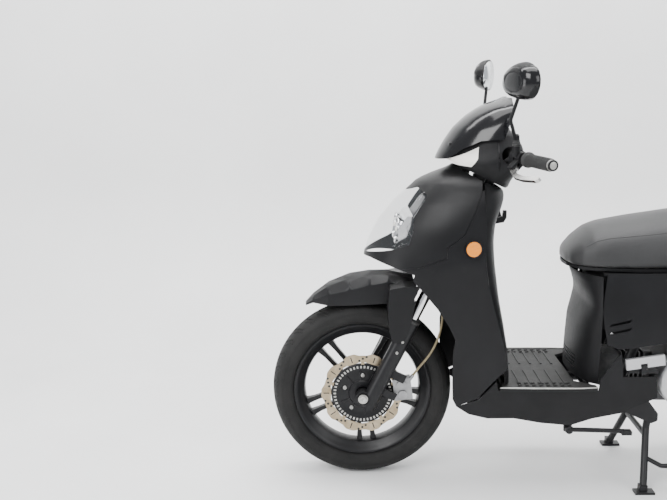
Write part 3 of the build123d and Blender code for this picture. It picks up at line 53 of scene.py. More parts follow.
# Sizes in millimetres, the same as the frame's.
FRONT = Vector((720, 0, 280))
REAR = Vector((-630, 0, 292))
RAKE_S, RAKE_C = sin(radians(26)), cos(radians(26))
FORK_OFFSET = 58
LEG_OFFSET = 33
LEG_HALF = 100
BAR_SWEEP = radians(16.5)
BAR_END = (238, 345, 1022)
MIRROR_CENTRE = (312, 296, 1237)
MIRROR_BASE = (300, 190, 1057)
MIRROR_YAW = radians(24)
LAMP_PLACE = (604, 42, 790)
DISC_Y = 66
DISC_WAVES = 10
SENSOR_TEETH = 50
CARRIER_BOLTS = 5
SPOKES = 5
SEAM_RADIUS = 1.4
FLOOR_TOP = 341
SWELL_CAP = 0.009
SHARP_PANEL, SHARP_FENDER = 36, 62
BOX_FACES = ((0, 1, 3, 2), (4, 5, 7, 6), (0, 1, 5, 4), (2, 3, 7, 6), (0, 2, 6, 4), (1, 3, 7, 5))


# ------------------------------------------------------------------ materials
def new_mat(name):
    m = bpy.data.materials.new(name)
    m.use_nodes = True
    tree = m.node_tree
    return m, tree, tree.nodes["Principled BSDF"]


def coords(tree, scale=(1, 1, 1)):
    tc = tree.nodes.new("ShaderNodeTexCoord")
    mp = tree.nodes.new("ShaderNodeMapping")
    mp.inputs["Scale"].default_value = scale
    tree.links.new(tc.outputs["Object"], mp.inputs["Vector"])
    return mp.outputs["Vector"]


def noise_tex(tree, vec, scale, detail=4.0, rough=0.55):
    n = tree.nodes.new("ShaderNodeTexNoise")
    n.inputs["Scale"].default_value = scale
    n.inputs["Detail"].default_value = detail
    n.inputs["Roughness"].default_value = rough
    tree.links.new(vec, n.inputs["Vector"])
    return n.outputs["Fac"]


def ramp(tree, fac, stops):
    r = tree.nodes.new("ShaderNodeValToRGB")
    while len(r.color_ramp.elements) < len(stops):
        r.color_ramp.elements.new(0.5)
    for e, (p, c) in zip(r.color_ramp.elements, stops):
        e.position = p
        e.color = c if len(c) == 4 else (*c, 1)
    tree.links.new(fac, r.inputs["Fac"])
    return r.outputs["Color"]


def bump(tree, bsdf, fac, strength, distance, chain=None):
    b = tree.nodes.new("ShaderNodeBump")
    b.inputs["Strength"].default_value = strength
    b.inputs["Distance"].default_value = distance
    tree.links.new(fac, b.inputs["Height"])
    if chain is not None:
        tree.links.new(chain, b.inputs["Normal"])
    tree.links.new(b.outputs["Normal"], bsdf.inputs["Normal"])
    return b.outputs["Normal"]


def surface(name, dark, light, rough, grain=900.0, grain_bump=0.15, metal=0.0, spread=9.0, coat=0.0,
            dust=0.0,
            spec=0.5, stretch=(1, 1, 1), distance=0.0004):
    """A moulded, painted or cast surface: slow tone changes, fine grain, uneven gloss and dust."""
    m, tree, bsdf = new_mat(name)
    vec = coords(tree, stretch)
    slow = noise_tex(tree, vec, spread, 6, 0.6)
    tone = ramp(tree, slow, [(0.3, dark), (0.72, light)])
    if dust > 0:
        geo = tree.nodes.new("ShaderNodeNewGeometry")
        sep = tree.nodes.new("ShaderNodeSeparateXYZ")
        tree.links.new(geo.outputs["Normal"], sep.inputs[0])
        up = tree.nodes.new("ShaderNodeMapRange")
        up.inputs["From Min"].default_value = 0.2
        up.inputs["From Max"].default_value = 1.0
        up.inputs["To Max"].default_value = dust
        tree.links.new(sep.outputs["Z"], up.inputs["Value"])
        speck = noise_tex(tree, vec, 60, 8, 0.7)
        mul = tree.nodes.new("ShaderNodeMath")
        mul.operation = "MULTIPLY"
        tree.links.new(up.outputs["Result"], mul.inputs[0])
        tree.links.new(speck, mul.inputs[1])
        mix = tree.nodes.new("ShaderNodeMix")
        mix.data_type = "RGBA"
        mix.inputs["B"].default_value = (0.30, 0.29, 0.27, 1)
        tree.links.new(mul.outputs[0], mix.inputs["Factor"])
        tree.links.new(tone, mix.inputs["A"])
        tone = mix.outputs["Result"]
    tree.links.new(tone, bsdf.inputs["Base Color"])
    patch = noise_tex(tree, vec, spread * 2.3, 8, 0.65)
    rr = tree.nodes.new("ShaderNodeMapRange")
    rr.inputs["To Min"].default_value = max(rough - 0.09, 0.03)
    rr.inputs["To Max"].default_value = min(rough + 0.12, 1)
    tree.links.new(patch, rr.inputs["Value"])
    tree.links.new(rr.outputs["Result"], bsdf.inputs["Roughness"])
    bsdf.inputs["Metallic"].default_value = metal
    bsdf.inputs["Specular IOR Level"].default_value = spec
    if coat:
        bsdf.inputs["Coat Weight"].default_value = coat
        bsdf.inputs["Coat Roughness"].default_value = 0.08
    fine = noise_tex(tree, vec, grain, 3, 0.5)
    bump(tree, bsdf, fine, grain_bump, distance)
    return m


M = {}
M["satin"] = surface("satin_paint", (0.004, 0.004, 0.0045), (0.008, 0.008, 0.009), 0.36, 1500, 0.05,
                     spread=5, spec=0.20, dust=0.03)
M["gloss"] = surface("gloss_black", (0.003, 0.003, 0.0035), (0.005, 0.005, 0.006), 0.13, 700, 0.02,
                     spread=4, coat=0.12, spec=0.34, dust=0.02)
M["matte"] = surface("moulded_black", (0.005, 0.005, 0.0055), (0.010, 0.010, 0.011), 0.50, 1800, 0.35,
                     spread=8, spec=0.18, dust=0.04)
M["floor_rubber"] = surface("footboard", (0.006, 0.0063, 0.0066), (0.012, 0.0125, 0.013), 0.55, 1300, 0.5,
                            spread=12, spec=0.2, dust=0.10)
M["tube"] = surface("black_steel", (0.005, 0.005, 0.006), (0.011, 0.011, 0.012), 0.38, 500, 0.12, spread=14,
                    spec=0.25, dust=0.06)
M["alloy_black"] = surface("black_alloy", (0.004, 0.004, 0.005), (0.009, 0.009, 0.010), 0.33, 420, 0.14,
                           spread=12, spec=0.26, dust=0.05)
M["cast"] = surface("cast_alloy", (0.24, 0.24, 0.245), (0.40, 0.40, 0.405), 0.45, 420, 0.45, metal=0.85,
                    spread=18)
M["silver"] = surface("silver_cover", (0.42, 0.42, 0.43), (0.55, 0.55, 0.56), 0.36, 600, 0.25, metal=0.8,
                      spread=10)
M["polished"] = surface("polished_alloy", (0.62, 0.61, 0.59), (0.78, 0.77, 0.75), 0.2, 300, 0.08, metal=1.0,
                        spread=20)
M["chrome"] = surface("chrome", (0.72, 0.72, 0.73), (0.84, 0.84, 0.85), 0.08, 200, 0.02, metal=1.0,
                      spread=10)
M["steel"] = surface("zinc_steel", (0.34, 0.34, 0.33), (0.52, 0.51, 0.48), 0.34, 500, 0.2, metal=1.0,
                     spread=40)
M["disc"] = surface("disc_steel", (0.27, 0.21, 0.13), (0.44, 0.37, 0.27), 0.32, 260, 0.3, metal=1.0,
                    spread=30, stretch=(1, 1, 1))
M["engine"] = surface("engine_cast", (0.05, 0.05, 0.052), (0.13, 0.13, 0.13), 0.55, 350, 0.6, metal=0.6,
                      spread=22, dust=0.3)
M["rubber"] = surface("grip_rubber", (0.009, 0.009, 0.009), (0.018, 0.018, 0.018), 0.62, 1500, 0.4,
                      spread=20)
M["belt"] = surface("belt_rubber", (0.02, 0.02, 0.02), (0.04, 0.04, 0.04), 0.7, 900, 0.4)
M["exhaust"] = surface("heat_black", (0.012, 0.012, 0.012), (0.035, 0.03, 0.028), 0.6, 800, 0.4, spread=10,
                       dust=0.2)
M["hose"] = surface("brake_hose", (0.16, 0.13, 0.07), (0.26, 0.21, 0.12), 0.5, 1500, 0.3, spread=60)
M["dark_lamp"] = surface("lamp_housing", (0.10, 0.10, 0.105), (0.17, 0.17, 0.175), 0.4, 900, 0.1)


def tyre_rubber():
    m, tree, bsdf = new_mat("tyre_rubber")
    vec = coords(tree)
    slow = noise_tex(tree, vec, 14, 8, 0.65)
    tone = ramp(tree, slow, [(0.3, (0.006, 0.006, 0.006)), (0.7, (0.015, 0.0145, 0.014))])
    tree.links.new(tone, bsdf.inputs["Base Color"])
    bsdf.inputs["Roughness"].default_value = 0.68
    bsdf.inputs["Specular IOR Level"].default_value = 0.25
    fine = noise_tex(tree, vec, 700, 4, 0.6)
    bump(tree, bsdf, fine, 0.35, 0.0005)
    return m


def vinyl():
    """Grained seat vinyl: small cells, slow creases and a soft sheen."""
    m, tree, bsdf = new_mat("seat_vinyl")
    vec = coords(tree)
    slow = noise_tex(tree, vec, 7, 6, 0.6)
    tone = ramp(tree, slow, [(0.3, (0.009, 0.009, 0.0095)), (0.72, (0.019, 0.019, 0.0195))])
    tree.links.new(tone, bsdf.inputs["Base Color"])
    cell = tree.nodes.new("ShaderNodeTexVoronoi")
    cell.feature = "DISTANCE_TO_EDGE"
    cell.inputs["Scale"].default_value = 420
    tree.links.new(vec, cell.inputs["Vector"])
    first = bump(tree, bsdf, cell.outputs["Distance"], 0.55, 0.0010)
    crease = noise_tex(tree, vec, 32, 5, 0.6)
    bump(tree, bsdf, crease, 0.18, 0.002, chain=first)
    rr = tree.nodes.new("ShaderNodeMapRange")
    rr.inputs["To Min"].default_value = 0.42
    rr.inputs["To Max"].default_value = 0.60
    tree.links.new(slow, rr.inputs["Value"])
    tree.links.new(rr.outputs["Result"], bsdf.inputs["Roughness"])
    bsdf.inputs["Sheen Weight"].default_value = 0.08
    bsdf.inputs["Sheen Roughness"].default_value = 0.45
    return m


def lens_mat(name, colour, alpha, rough=0.04, cell_scale=0.0, coat=0.3):
    m, tree, bsdf = new_mat(name)
    vec = coords(tree)
    slow = noise_tex(tree, vec, 30, 4, 0.5)
    tone = ramp(tree, slow, [(0.2, tuple(c * 0.9 for c in colour)), (0.8, colour)])
    tree.links.new(tone, bsdf.inputs["Base Color"])
    bsdf.inputs["Roughness"].default_value = rough
    bsdf.inputs["Alpha"].default_value = alpha
    bsdf.inputs["Coat Weight"].default_value = coat
    bsdf.inputs["Coat Roughness"].default_value = 0.03
    if cell_scale:
        cell = tree.nodes.new("ShaderNodeTexVoronoi")
        cell.inputs["Scale"].default_value = cell_scale
        tree.links.new(vec, cell.inputs["Vector"])
        bump(tree, bsdf, cell.outputs["Distance"], 0.5, 0.002)
    else:
        bump(tree, bsdf, noise_tex(tree, vec, 200, 2, 0.5), 0.02, 0.0004)
    return m


M["tyre"] = tyre_rubber()
M["vinyl"] = vinyl()
M["lens"] = lens_mat("clear_lens", (0.20, 0.21, 0.22), 0.07, coat=0.10)
M["amber"] = lens_mat("amber_lens", (0.85, 0.26, 0.003), 1.0, 0.2, 260, coat=0.1)
M["red"] = lens_mat("red_lens", (0.42, 0.012, 0.012), 1.0, 0.12, 220)
M["lamp_clear"] = lens_mat("indicator_lens", (0.93, 0.90, 0.84), 1.0, 0.12, 240)
M["mirror"] = surface("mirror_glass", (0.80, 0.82, 0.84), (0.86, 0.88, 0.90), 0.05, 300, 0.0, metal=1.0)

CAD_MATS = {
    "main_frame": "tube", "head_bearings": "steel", "front_cowl": "satin", "side_fairings": "satin",
    "leg_shield": "matte", "floorboard": "floor_rubber", "lower_covers": "matte",
    "seat_front_cover": "matte",
    "side_panels": "satin", "tail_lamp": "red", "plate_bracket": "matte", "grab_rail": "tube",
    "helmet_box": "matte", "fuel_tank": "matte", "headlamp_lens": "lens", "headlamp_reflector": "chrome",
    "side_reflectors": "amber", "steering_stem": "tube", "fork_stanchions": "chrome", "handlebar": "tube",
    "bar_cover_front": "matte", "bar_cover_rear": "matte", "visor": "gloss", "turn_lamps": "lamp_clear",
    "hand_controls": "matte", "left_grip": "rubber", "throttle_grip": "rubber",
    "fork_lowers": "alloy_black",
    "front_axle": "steel", "front_fender": "satin", "front_caliper": "cast", "front_brake_hose": "hose",
    "front_tyre": "tyre", "front_rim": "alloy_black", "front_disc": "disc", "engine_case": "engine",
    "cvt_cover": "silver", "air_filter_box": "matte", "exhaust": "exhaust", "drive_belt": "belt",
    "drive_pulley": "steel", "driven_pulley": "steel", "rear_tyre": "tyre", "rear_rim": "alloy_black",
    "rear_disc": "disc", "centre_stand": "tube", "side_stand": "tube", "seat_base": "matte",
    "seat_cushion": "vinyl", "brake_lever_left": "polished", "brake_lever_right": "polished",
    "mirror_left": "matte", "mirror_right": "matte", "peg_left": "silver", "peg_right": "silver",
    "shock_uppers": "tube", "shock_lowers": "chrome", "shock_springs": "tube",
    "starter_button": "matte", "horn_button": "matte",
}
for node, key in CAD_MATS.items():
    for s in NODES[node].material_slots:
        s.material = M[key]

BODY_OF = {n: b for b, nodes in frame["record"]["behaviour"]["bodies"].items() for n in nodes}


def skin(node, key, angle):
    """The same surface as a CAD node, as one welded mesh with continuous shading over its gentle facets."""
    src = NODES[node].data
    mesh = bpy.data.meshes.new("skin_" + node)
    mesh.from_pydata([tuple(v.co) for v in src.vertices], [], [tuple(p.vertices) for p in src.polygons])
    bm = bmesh.new()
    bm.from_mesh(mesh)
    bmesh.ops.remove_doubles(bm, verts=bm.verts, dist=2e-5)
    bmesh.ops.dissolve_degenerate(bm, edges=bm.edges, dist=1e-5)
    bmesh.ops.dissolve_limit(bm, angle_limit=radians(1.0), verts=bm.verts, edges=bm.edges)
    bmesh.ops.recalc_face_normals(bm, faces=bm.faces)
    bm.to_mesh(mesh)
    bm.free()
    for p in mesh.polygons:
        p.use_smooth = True
    mesh.set_sharp_from_angle(angle=radians(angle))
    ob = bpy.data.objects.new("skin_" + node, mesh)
    bpy.context.scene.collection.objects.link(ob)
    mesh.materials.append(M[key])
    mod = ob.modifiers.new("normals", "WEIGHTED_NORMAL")
    mod.keep_sharp = True
    mod.weight = 60
    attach(ob, BODY_OF[node])
    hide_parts(node)
    return ob


for node in ("front_cowl", "side_fairings", "leg_shield", "headlamp_lens", "front_fender",
             "bar_cover_front", "bar_cover_rear",
             "visor", "side_panels", "seat_front_cover", "lower_covers", "turn_lamps"):
    skin(node, CAD_MATS[node], SHARP_FENDER if node == "front_fender" else SHARP_PANEL)


# ------------------------------------------------------------------ geometry helpers
def make(name, verts, faces, mat, body, smooth=True, bevel=0.0, subsurf=0, thick=0.0, replaces=(),
         angle=None, segments=2):
    """One mesh piece from points in millimetres, riding on a body."""
    mesh = bpy.data.meshes.new(name)
    mesh.from_pydata([tuple(c * MM for c in v) for v in verts], [], faces)
    mesh.validate()
    mesh.update()
    bm = bmesh.new()
    bm.from_mesh(mesh)
    bmesh.ops.recalc_face_normals(bm, faces=bm.faces)
    bm.to_mesh(mesh)
    bm.free()
    if smooth:
        for p in mesh.polygons:
            p.use_smooth = True
        if angle:
            mesh.set_sharp_from_angle(angle=radians(angle))
    ob = bpy.data.objects.new(name, mesh)
    bpy.context.scene.collection.objects.link(ob)
    mesh.materials.append(M[mat])
    if thick:
        mod = ob.modifiers.new("thick", "SOLIDIFY")
        mod.thickness = thick * MM
        mod.offset = -1
    if bevel:
        mod = ob.modifiers.new("bevel", "BEVEL")
        mod.width = bevel * MM
        mod.segments = segments
        mod.limit_method = "ANGLE"
        mod.angle_limit = radians(35)
        mod.harden_normals = True
    if subsurf:
        mod = ob.modifiers.new("sub", "SUBSURF")
        mod.levels = subsurf
        mod.render_levels = subsurf
    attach(ob, body)
    if replaces:
        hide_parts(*replaces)
    return ob


def frame_of(direction):
    """Two directions square to the given one, and the given one itself."""
    z = Vector(direction).normalized()
    x = z.orthogonal().normalized()
    return x, z.cross(x), z


def lathe(name, profile, centre, axis, mat, body, seg=96, closed=False, warp=None, angle=35, **kw):
    """Profile points (radius, height) turned about an axis through centre."""
    x, y, z = frame_of(axis)
    c = Vector(centre)
    verts, faces = [], []
    n = len(profile)
    for k in range(seg):
        a = 2 * pi * k / seg
        for j, (r, h) in enumerate(profile):
            if warp:
                r, h = warp(a, r, h)
            verts.append(c + x * (r * cos(a)) + y * (r * sin(a)) + z * h)
    for k in range(seg):
        for j in range(n - 1 + (1 if closed else 0)):
            a, b = k * n + j, k * n + (j + 1) % n
            d, e = ((k + 1) % seg) * n + (j + 1) % n, ((k + 1) % seg) * n + j
            faces.append((a, b, d, e))
    if not closed:
        if profile[0][0] > 1e-6:
            faces.append([k * n for k in range(seg)])
        if profile[-1][0] > 1e-6:
            faces.append([k * n + n - 1 for k in range(seg)])
    ob = make(name, verts, faces, mat, body, angle=angle, **kw)
    if not closed and (profile[0][0] <= 1e-6 or profile[-1][0] <= 1e-6):
        bm = bmesh.new()
        bm.from_mesh(ob.data)
        bmesh.ops.remove_doubles(bm, verts=bm.verts, dist=1e-6)
        bm.to_mesh(ob.data)
        bm.free()
    return ob


def tube(name, pts, radius, mat, body, order=3, cyclic=False, taper=None, res=12, replaces=()):
    curve = bpy.data.curves.new(name, "CURVE")
    curve.dimensions = "3D"
    spline = curve.splines.new("NURBS")
    spline.points.add(len(pts) - 1)
    for k, p in enumerate(pts):
        spline.points[k].co = (p[0] * MM, p[1] * MM, p[2] * MM, 1)
        spline.points[k].radius = taper[k] if taper else 1.0
    spline.order_u = order
    spline.use_endpoint_u = True
    spline.use_cyclic_u = cyclic
    spline.resolution_u = res
    curve.bevel_depth = radius * MM
    curve.bevel_resolution = 5
    curve.use_fill_caps = True
    ob = bpy.data.objects.new(name, curve)
    bpy.context.scene.collection.objects.link(ob)
    curve.materials.append(M[mat])
    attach(ob, body)
    if replaces:
        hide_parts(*replaces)
    return ob


def bolt(name, at, direction, r, body, mat="steel", kind="hex", h=None):
    """A bolt head with a washer flange and a recess."""
    h = h or r * 0.75
    if kind == "hex":
        lathe(name, [(0, h * 0.8), (r * 0.30, h * 0.8), (r * 0.42, h), (r * 0.92, h), (r, h * 0.85),
                     (r, h * 0.15),
                     (r * 1.25, h * 0.12), (r * 1.28, -0.3)], at, direction, mat, body,
                     seg=6 if r < 3 else 12, angle=25)
    else:
        lathe(name, [(0, h * 0.25), (r * 0.42, h * 0.25), (r * 0.46, h * 0.9), (r * 0.8, h * 0.8),
                     (r, h * 0.4), (r, -0.4)],
              at, direction, mat, body, seg=20, angle=30)


def panel(name, grid, mat, body, thick=2.5, subsurf=1, replaces=(), bevel=0.0, angle=None):
    """A sheet through a grid of points, thickened inwards."""
    rows, cols = len(grid), len(grid[0])
    verts = [p for row in grid for p in row]
    faces = []
    for i in range(rows - 1):
        for j in range(cols - 1):
            a = i * cols + j
            faces.append((a, a + 1, a + cols + 1, a + cols))
    return make(name, verts, faces, mat, body, thick=thick, subsurf=subsurf, replaces=replaces, bevel=bevel,
                angle=angle)


def steer_pt(u, v, w):
    """A place given along the fork: u ahead of the steering axis, v to the left, w up the axis."""
    u = u - FORK_OFFSET
    return (FRONT.x + u * RAKE_C - w * RAKE_S, v, FRONT.z + u * RAKE_S + w * RAKE_C)


def mirror_y(pts):
    return [(x, -y, z) for x, y, z in pts]


# ------------------------------------------------------------------ wheels
TYRE_PROFILE = [
    (270, 0), (266, 28), (257, 40), (238, 47), (221, 36), (204, 28), (203.6, 36), (213.6, 37.5),
    (214.5, 42), (219, 49),
    (228, 53), (240, 55), (250, 54), (257, 51.5), (263, 48), (268, 43.5), (272, 37), (275, 30), (277.4, 22),
    (279, 13),
    (279.8, 6), (280, 0),
]


def tyre(name, centre, body, node):
    prof = TYRE_PROFILE + [(r, -h) for r, h in reversed(TYRE_PROFILE[1:-1])]
    fine = []
    count = len(prof)
    for k in range(count):
        a, b = prof[k], prof[(k + 1) % count]
        steps = 4 if min(a[0], b[0]) > 255 and max(abs(a[1]), abs(b[1])) < 52 and max(a[0],
                b[0]) > 262 else 1
        for s in range(steps):
            t = s / steps
            fine.append((a[0] + (b[0] - a[0]) * t, a[1] + (b[1] - a[1]) * t))
    pitch = 36

    def warp(a, r, h):
        outer = r > 262 and not (r <= 270 and abs(h) < 30) and not (abs(h) < 1 and r < 271)
        if not outer:
            return r, h
        side = 1 if h >= 0 else -1
        y = abs(h)
        cut = 0.0
        phase = (a * pitch / (2 * pi) + (0.5 if side < 0 else 0)) % 1.0
        slant = (phase + y * 0.016) % 1.0
        if 7 < y < 45 and abs(slant - 0.5) < 0.055:
            cut = 3.2 * min(1, (y - 7) / 4, (45 - y) / 3)
        slant2 = (phase * 1.0 + 0.5 + y * 0.022) % 1.0
        if 20 < y < 47 and abs(slant2 - 0.5) < 0.042:
            cut = max(cut, 2.4 * min(1, (y - 20) / 3))
        if y < 2.2:
            cut = 2.0
        return r - max(cut, 0), h

    ob = lathe(name, fine, centre, (0, 1, 0), "tyre", body, seg=936, closed=True, warp=warp, angle=40,
               replaces=(node,))
    for r, h in ((249, 54.4), (226, 52.2)):
        for side in (-1, 1):
            lathe(f"{name}_line_{r}_{'l' if side > 0 else 'r'}",
                  [(r - 0.9, side * (h - 0.6)), (r - 0.5, side * (h + 0.3)), (r + 0.5, side * (h + 0.3)),
                   (r + 0.9, side * (h - 0.6))],
                  centre, (0, 1, 0), "tyre", body, seg=180, closed=True)
    return ob


def rim(name, centre, body, node, hub=(-42, 42), start=31.0, bore=9.0):
    prof = [
        (213, 42), (213.4, 40), (212, 38), (204, 37), (202, 33), (200, 25), (190, 21), (184, 17),
        (184, -17), (190, -21),
        (200, -25), (202, -33), (204, -37), (212, -38), (213.4, -40), (213, -42), (209, -43), (204, -41),
        (199, -36),
        (191, -30), (182, -24), (178.6, -16), (178, 0), (178.6, 16), (182, 24), (191, 30), (199, 36),
        (204, 41), (209, 43),
    ]
    lathe(name + "_ring", prof, centre, (0, 1, 0), "alloy_black", body, seg=160, closed=True, angle=32,
          replaces=(node,))
    lathe(name + "_hub", [(bore, hub[0]), (30, hub[0]), (33, hub[0] + 4), (33, -20), (40, -12), (56, -9),
                          (58, 0), (56, 9), (40, 12),
                          (33, 20), (33, hub[1] - 4), (30, hub[1]), (bore, hub[1])], centre, (0, 1, 0),
                          "alloy_black", body, seg=64, closed=True)
    verts, faces = [], []
    for k in range(SPOKES):
        turn = Matrix.Rotation(radians(-(start + k * 360 / SPOKES)), 4, "Y")
        for side in (-1, 1):
            base = len(verts)
            sections = [(30, 17, 8.5, 12), (60, 17.5, 7.2, 11), (110, 18.6, 6.4, 9.5), (150, 19.6, 6.8, 10),
                        (172, 21, 8.6, 13), (183, 22, 11, 16)]
            for z, x, w, d in sections:
                for px, py in ((-w, -d), (w, -d), (w, d), (-w, d)):
                    v = turn @ Vector((side * x + px, py, z))
                    verts.append(v + Vector(centre))
            for j in range(len(sections) - 1):
                for q in range(4):
                    a = base + j * 4 + q
                    b = base + j * 4 + (q + 1) % 4
                    faces.append((a, b, b + 4, a + 4))
            faces.append([base + q for q in range(4)])
            faces.append([base + (len(sections) - 1) * 4 + q for q in range(4)])
    make(name + "_spokes", verts, faces, "alloy_black", body, bevel=2.6, segments=3, angle=40)
    a = radians(200)
    d = Vector((cos(a), 0, sin(a)))
    lathe(name + "_valve", [(0, 30), (3.4, 30), (3.8, 27), (3.8, 20), (3, 19), (4.2, 6), (5.4, 0), (6, -3)],
          Vector(centre) + d * 178.5 , -d, "rubber", body, seg=16)


tyre("tyre_front", FRONT, "front_wheel", "front_tyre")
rim("rim_front", FRONT, "front_wheel", "front_rim")
tyre("tyre_rear", REAR, "rear_wheel", "rear_tyre")
rim("rim_rear", REAR, "rear_wheel", "rear_rim", bore=11.2)


def brake(name, centre, side, body, node):
    """Wave disc with slots and holes drawn as black marks of painted shade, sensor ring, dark carrier and
    its bolts.
    """
    c = Vector(centre)
    y0 = DISC_Y * side
    seg = 240
    verts, faces = [], []
    for k in range(seg):
        a = 2 * pi * k / seg
        wave = 3.4 * max(-1, min(1, 1.6 * cos(DISC_WAVES * a)))
        inner = 1.8 * cos(DISC_WAVES * a + pi)
        for r, y in ((99 + inner, 0), (124.4 + wave, 0), (124.4 + wave, 4), (99 + inner, 4)):
            verts.append(c + Vector((r * cos(a), y0 + side * y, r * sin(a))))
    for k in range(seg):
        n = (k + 1) % seg
        for j in range(4):
            faces.append((k * 4 + j, k * 4 + (j + 1) % 4, n * 4 + (j + 1) % 4, n * 4 + j))
    make(name + "_disc", verts, faces, "disc", body, bevel=0.5, angle=30, replaces=(node,))
    for k in range(DISC_WAVES):
        a = 2 * pi * (k + 0.5) / DISC_WAVES
        # black discs laid on the face in place of the drilled holes: painted shade in each bore, together
        # with the dark wheel seen through it
        for q, r in ((-0.10, 106), (0.0, 112), (0.10, 118)):
            p = c + Vector((r * cos(a + q), y0 + side * 3.9, r * sin(a + q)))
            lathe(f"{name}_hole_{k}_{int(r)}", [(0, 0.25), (2.6, 0.25), (3.5, 0.32), (3.8, 0)], p,
                  (0, side, 0), "rubber", body, seg=14)
        # black strips laid on the face in place of the slot grooves: painted shade in the grooves, not a
        # material of the disc
        a2 = 2 * pi * k / DISC_WAVES
        v2 = []
        for (r, w) in ((103, 1.6), (121, 1.6)):
            for t in (-w, w):
                v2.append(c + Vector((r * cos(a2) - t * sin(a2), y0 + side * 4.15,
                                      r * sin(a2) + t * cos(a2))))
        make(f"{name}_slot_{k}", v2, [(0, 1, 3, 2)], "rubber", body, thick=0.3)
    lathe(name + "_carrier", [(20, -4 * side), (93, -4 * side), (97, 0), (97, 2 * side), (93, 5 * side),
                              (80, 6 * side), (72, 2 * side),
                              (44, 3 * side), (40, 9 * side), (22, 9 * side), (20, 6 * side)],
          c + Vector((0, y0, 0)), (0, 1, 0), "alloy_black", body, seg=90, closed=True)
    verts, faces = [], []
    for k in range(SENSOR_TEETH):
        a = 2 * pi * k / SENSOR_TEETH
        base = len(verts)
        for r in (82, 90):
            for w in (-2.6, 2.6):
                for y in (5.5, 7.4):
                    verts.append(c + Vector((r * cos(a) - w * sin(a), y0 + side * y,
                                             r * sin(a) + w * cos(a))))
        faces += [tuple(base + q for q in f) for f in BOX_FACES]
    make(name + "_teeth", verts, faces, "steel", body, bevel=0.4)
    for k in range(CARRIER_BOLTS):
        a = 2 * pi * (k + 0.25) / CARRIER_BOLTS
        bolt(f"{name}_bolt_{k}", c + Vector((58 * cos(a), y0 + side * 3, 58 * sin(a))), (0, side, 0), 6.5,
             body, "steel", "button", 4)
        bolt(f"{name}_rivet_{k}", c + Vector((97 * cos(a), y0 + side * 3.5, 97 * sin(a))), (0, side, 0), 6,
             body, "disc", "button", 1.4)
    verts, faces = [], []
    for k in range(10):
        a = 2 * pi * k / 10 + 0.2
        base = len(verts)
        for r, h in ((30, 6.0), (70, 5.5)):
            for w in (-2, 2):
                for y in (1.5, h):
                    verts.append(c + Vector((r * cos(a) - w * sin(a), y0 + side * y,
                                             r * sin(a) + w * cos(a))))
        faces += [tuple(base + q for q in f) for f in BOX_FACES]
    make(name + "_ribs", verts, faces, "alloy_black", body, bevel=0.8)
    lathe(name + "_post", [(20, 42 * side), (29, 42 * side), (29, 62 * side), (20, 62 * side)], c,
          (0, 1, 0), "alloy_black", body, seg=48, closed=True)


brake("brake_front", FRONT, 1, "front_wheel", "front_disc")
brake("brake_rear", REAR, -1, "rear_wheel", "rear_disc")
lathe("rear_shaft", [(0, -112), (11, -112), (11, 60), (0, 60)], REAR, (0, 1, 0), "steel", "rear_wheel",
      seg=40)


# ------------------------------------------------------------------ front end details
def tip(body, name, at, direction, mat="steel", r=5.0):
    bolt(name, at, direction, r, body, mat, "button")


for side in (-1, 1):
    s = "l" if side > 0 else "r"
    bolt(f"axle_nut_{s}", (720, side * 122, 280), (0, side, 0), 12, "fork_lower", "steel", "hex", 7)
    for k, w in enumerate((58, 96)):
        x, y, z = steer_pt(LEG_OFFSET, side * 125.4, w + 120)
        tip("fork_lower", f"leg_screw_{s}_{k}", (x, y, z), (0, side, 0), "steel", 4.5)
    x, y, z = steer_pt(LEG_OFFSET, side * LEG_HALF, 281)
    lathe(f"dust_seal_{s}", [(16.6, -2), (25.4, -2), (26.2, 1), (26.2, 5), (22, 9), (18, 11), (16.7, 11)],
          (x, y, z),
          (-RAKE_S, 0, RAKE_C), "rubber", "fork_lower", seg=48, closed=True)

ROUTE = [(565.8, 80, 343.4), (546, 84, 372), (518, 88, 408), (494, 88, 455), (480, 78, 505), (478, 66, 560),
         (490.2, 60, 612.2)]


def route_curve(name, pts, radius):
    curve = bpy.data.curves.new(name, "CURVE")
    curve.dimensions = "3D"
    spline = curve.splines.new("NURBS")
    spline.points.add(len(pts) - 1)
    for k, p in enumerate(pts):
        spline.points[k].co = (p[0] * MM, p[1] * MM, p[2] * MM, 1)
    spline.order_u = 3
    spline.use_endpoint_u = True
    spline.resolution_u = 14
    curve.bevel_depth = radius * MM
    curve.bevel_resolution = 5
    curve.use_fill_caps = True
    return bpy.data.objects.new(name, curve)


def line_of(pts):
    ob = route_curve("route", pts, 0)
    route_mesh = bpy.data.meshes.new_from_object(ob)
    line = [tuple(v.co) for v in route_mesh.vertices]
    bpy.data.objects.remove(ob)
    return line


hose_curve = route_curve("hose_curve", ROUTE, 3.5)
hose_mesh = bpy.data.meshes.new_from_object(hose_curve)
bpy.data.objects.remove(hose_curve)
hose = bpy.data.objects.new("brake_hose", hose_mesh)
bpy.context.scene.collection.objects.link(hose)
hose_mesh.materials.clear()
hose_mesh.materials.append(M["hose"])
for p in hose_mesh.polygons:
    p.use_smooth = True
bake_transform(hose)
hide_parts("front_brake_hose")

line = line_of(ROUTE)


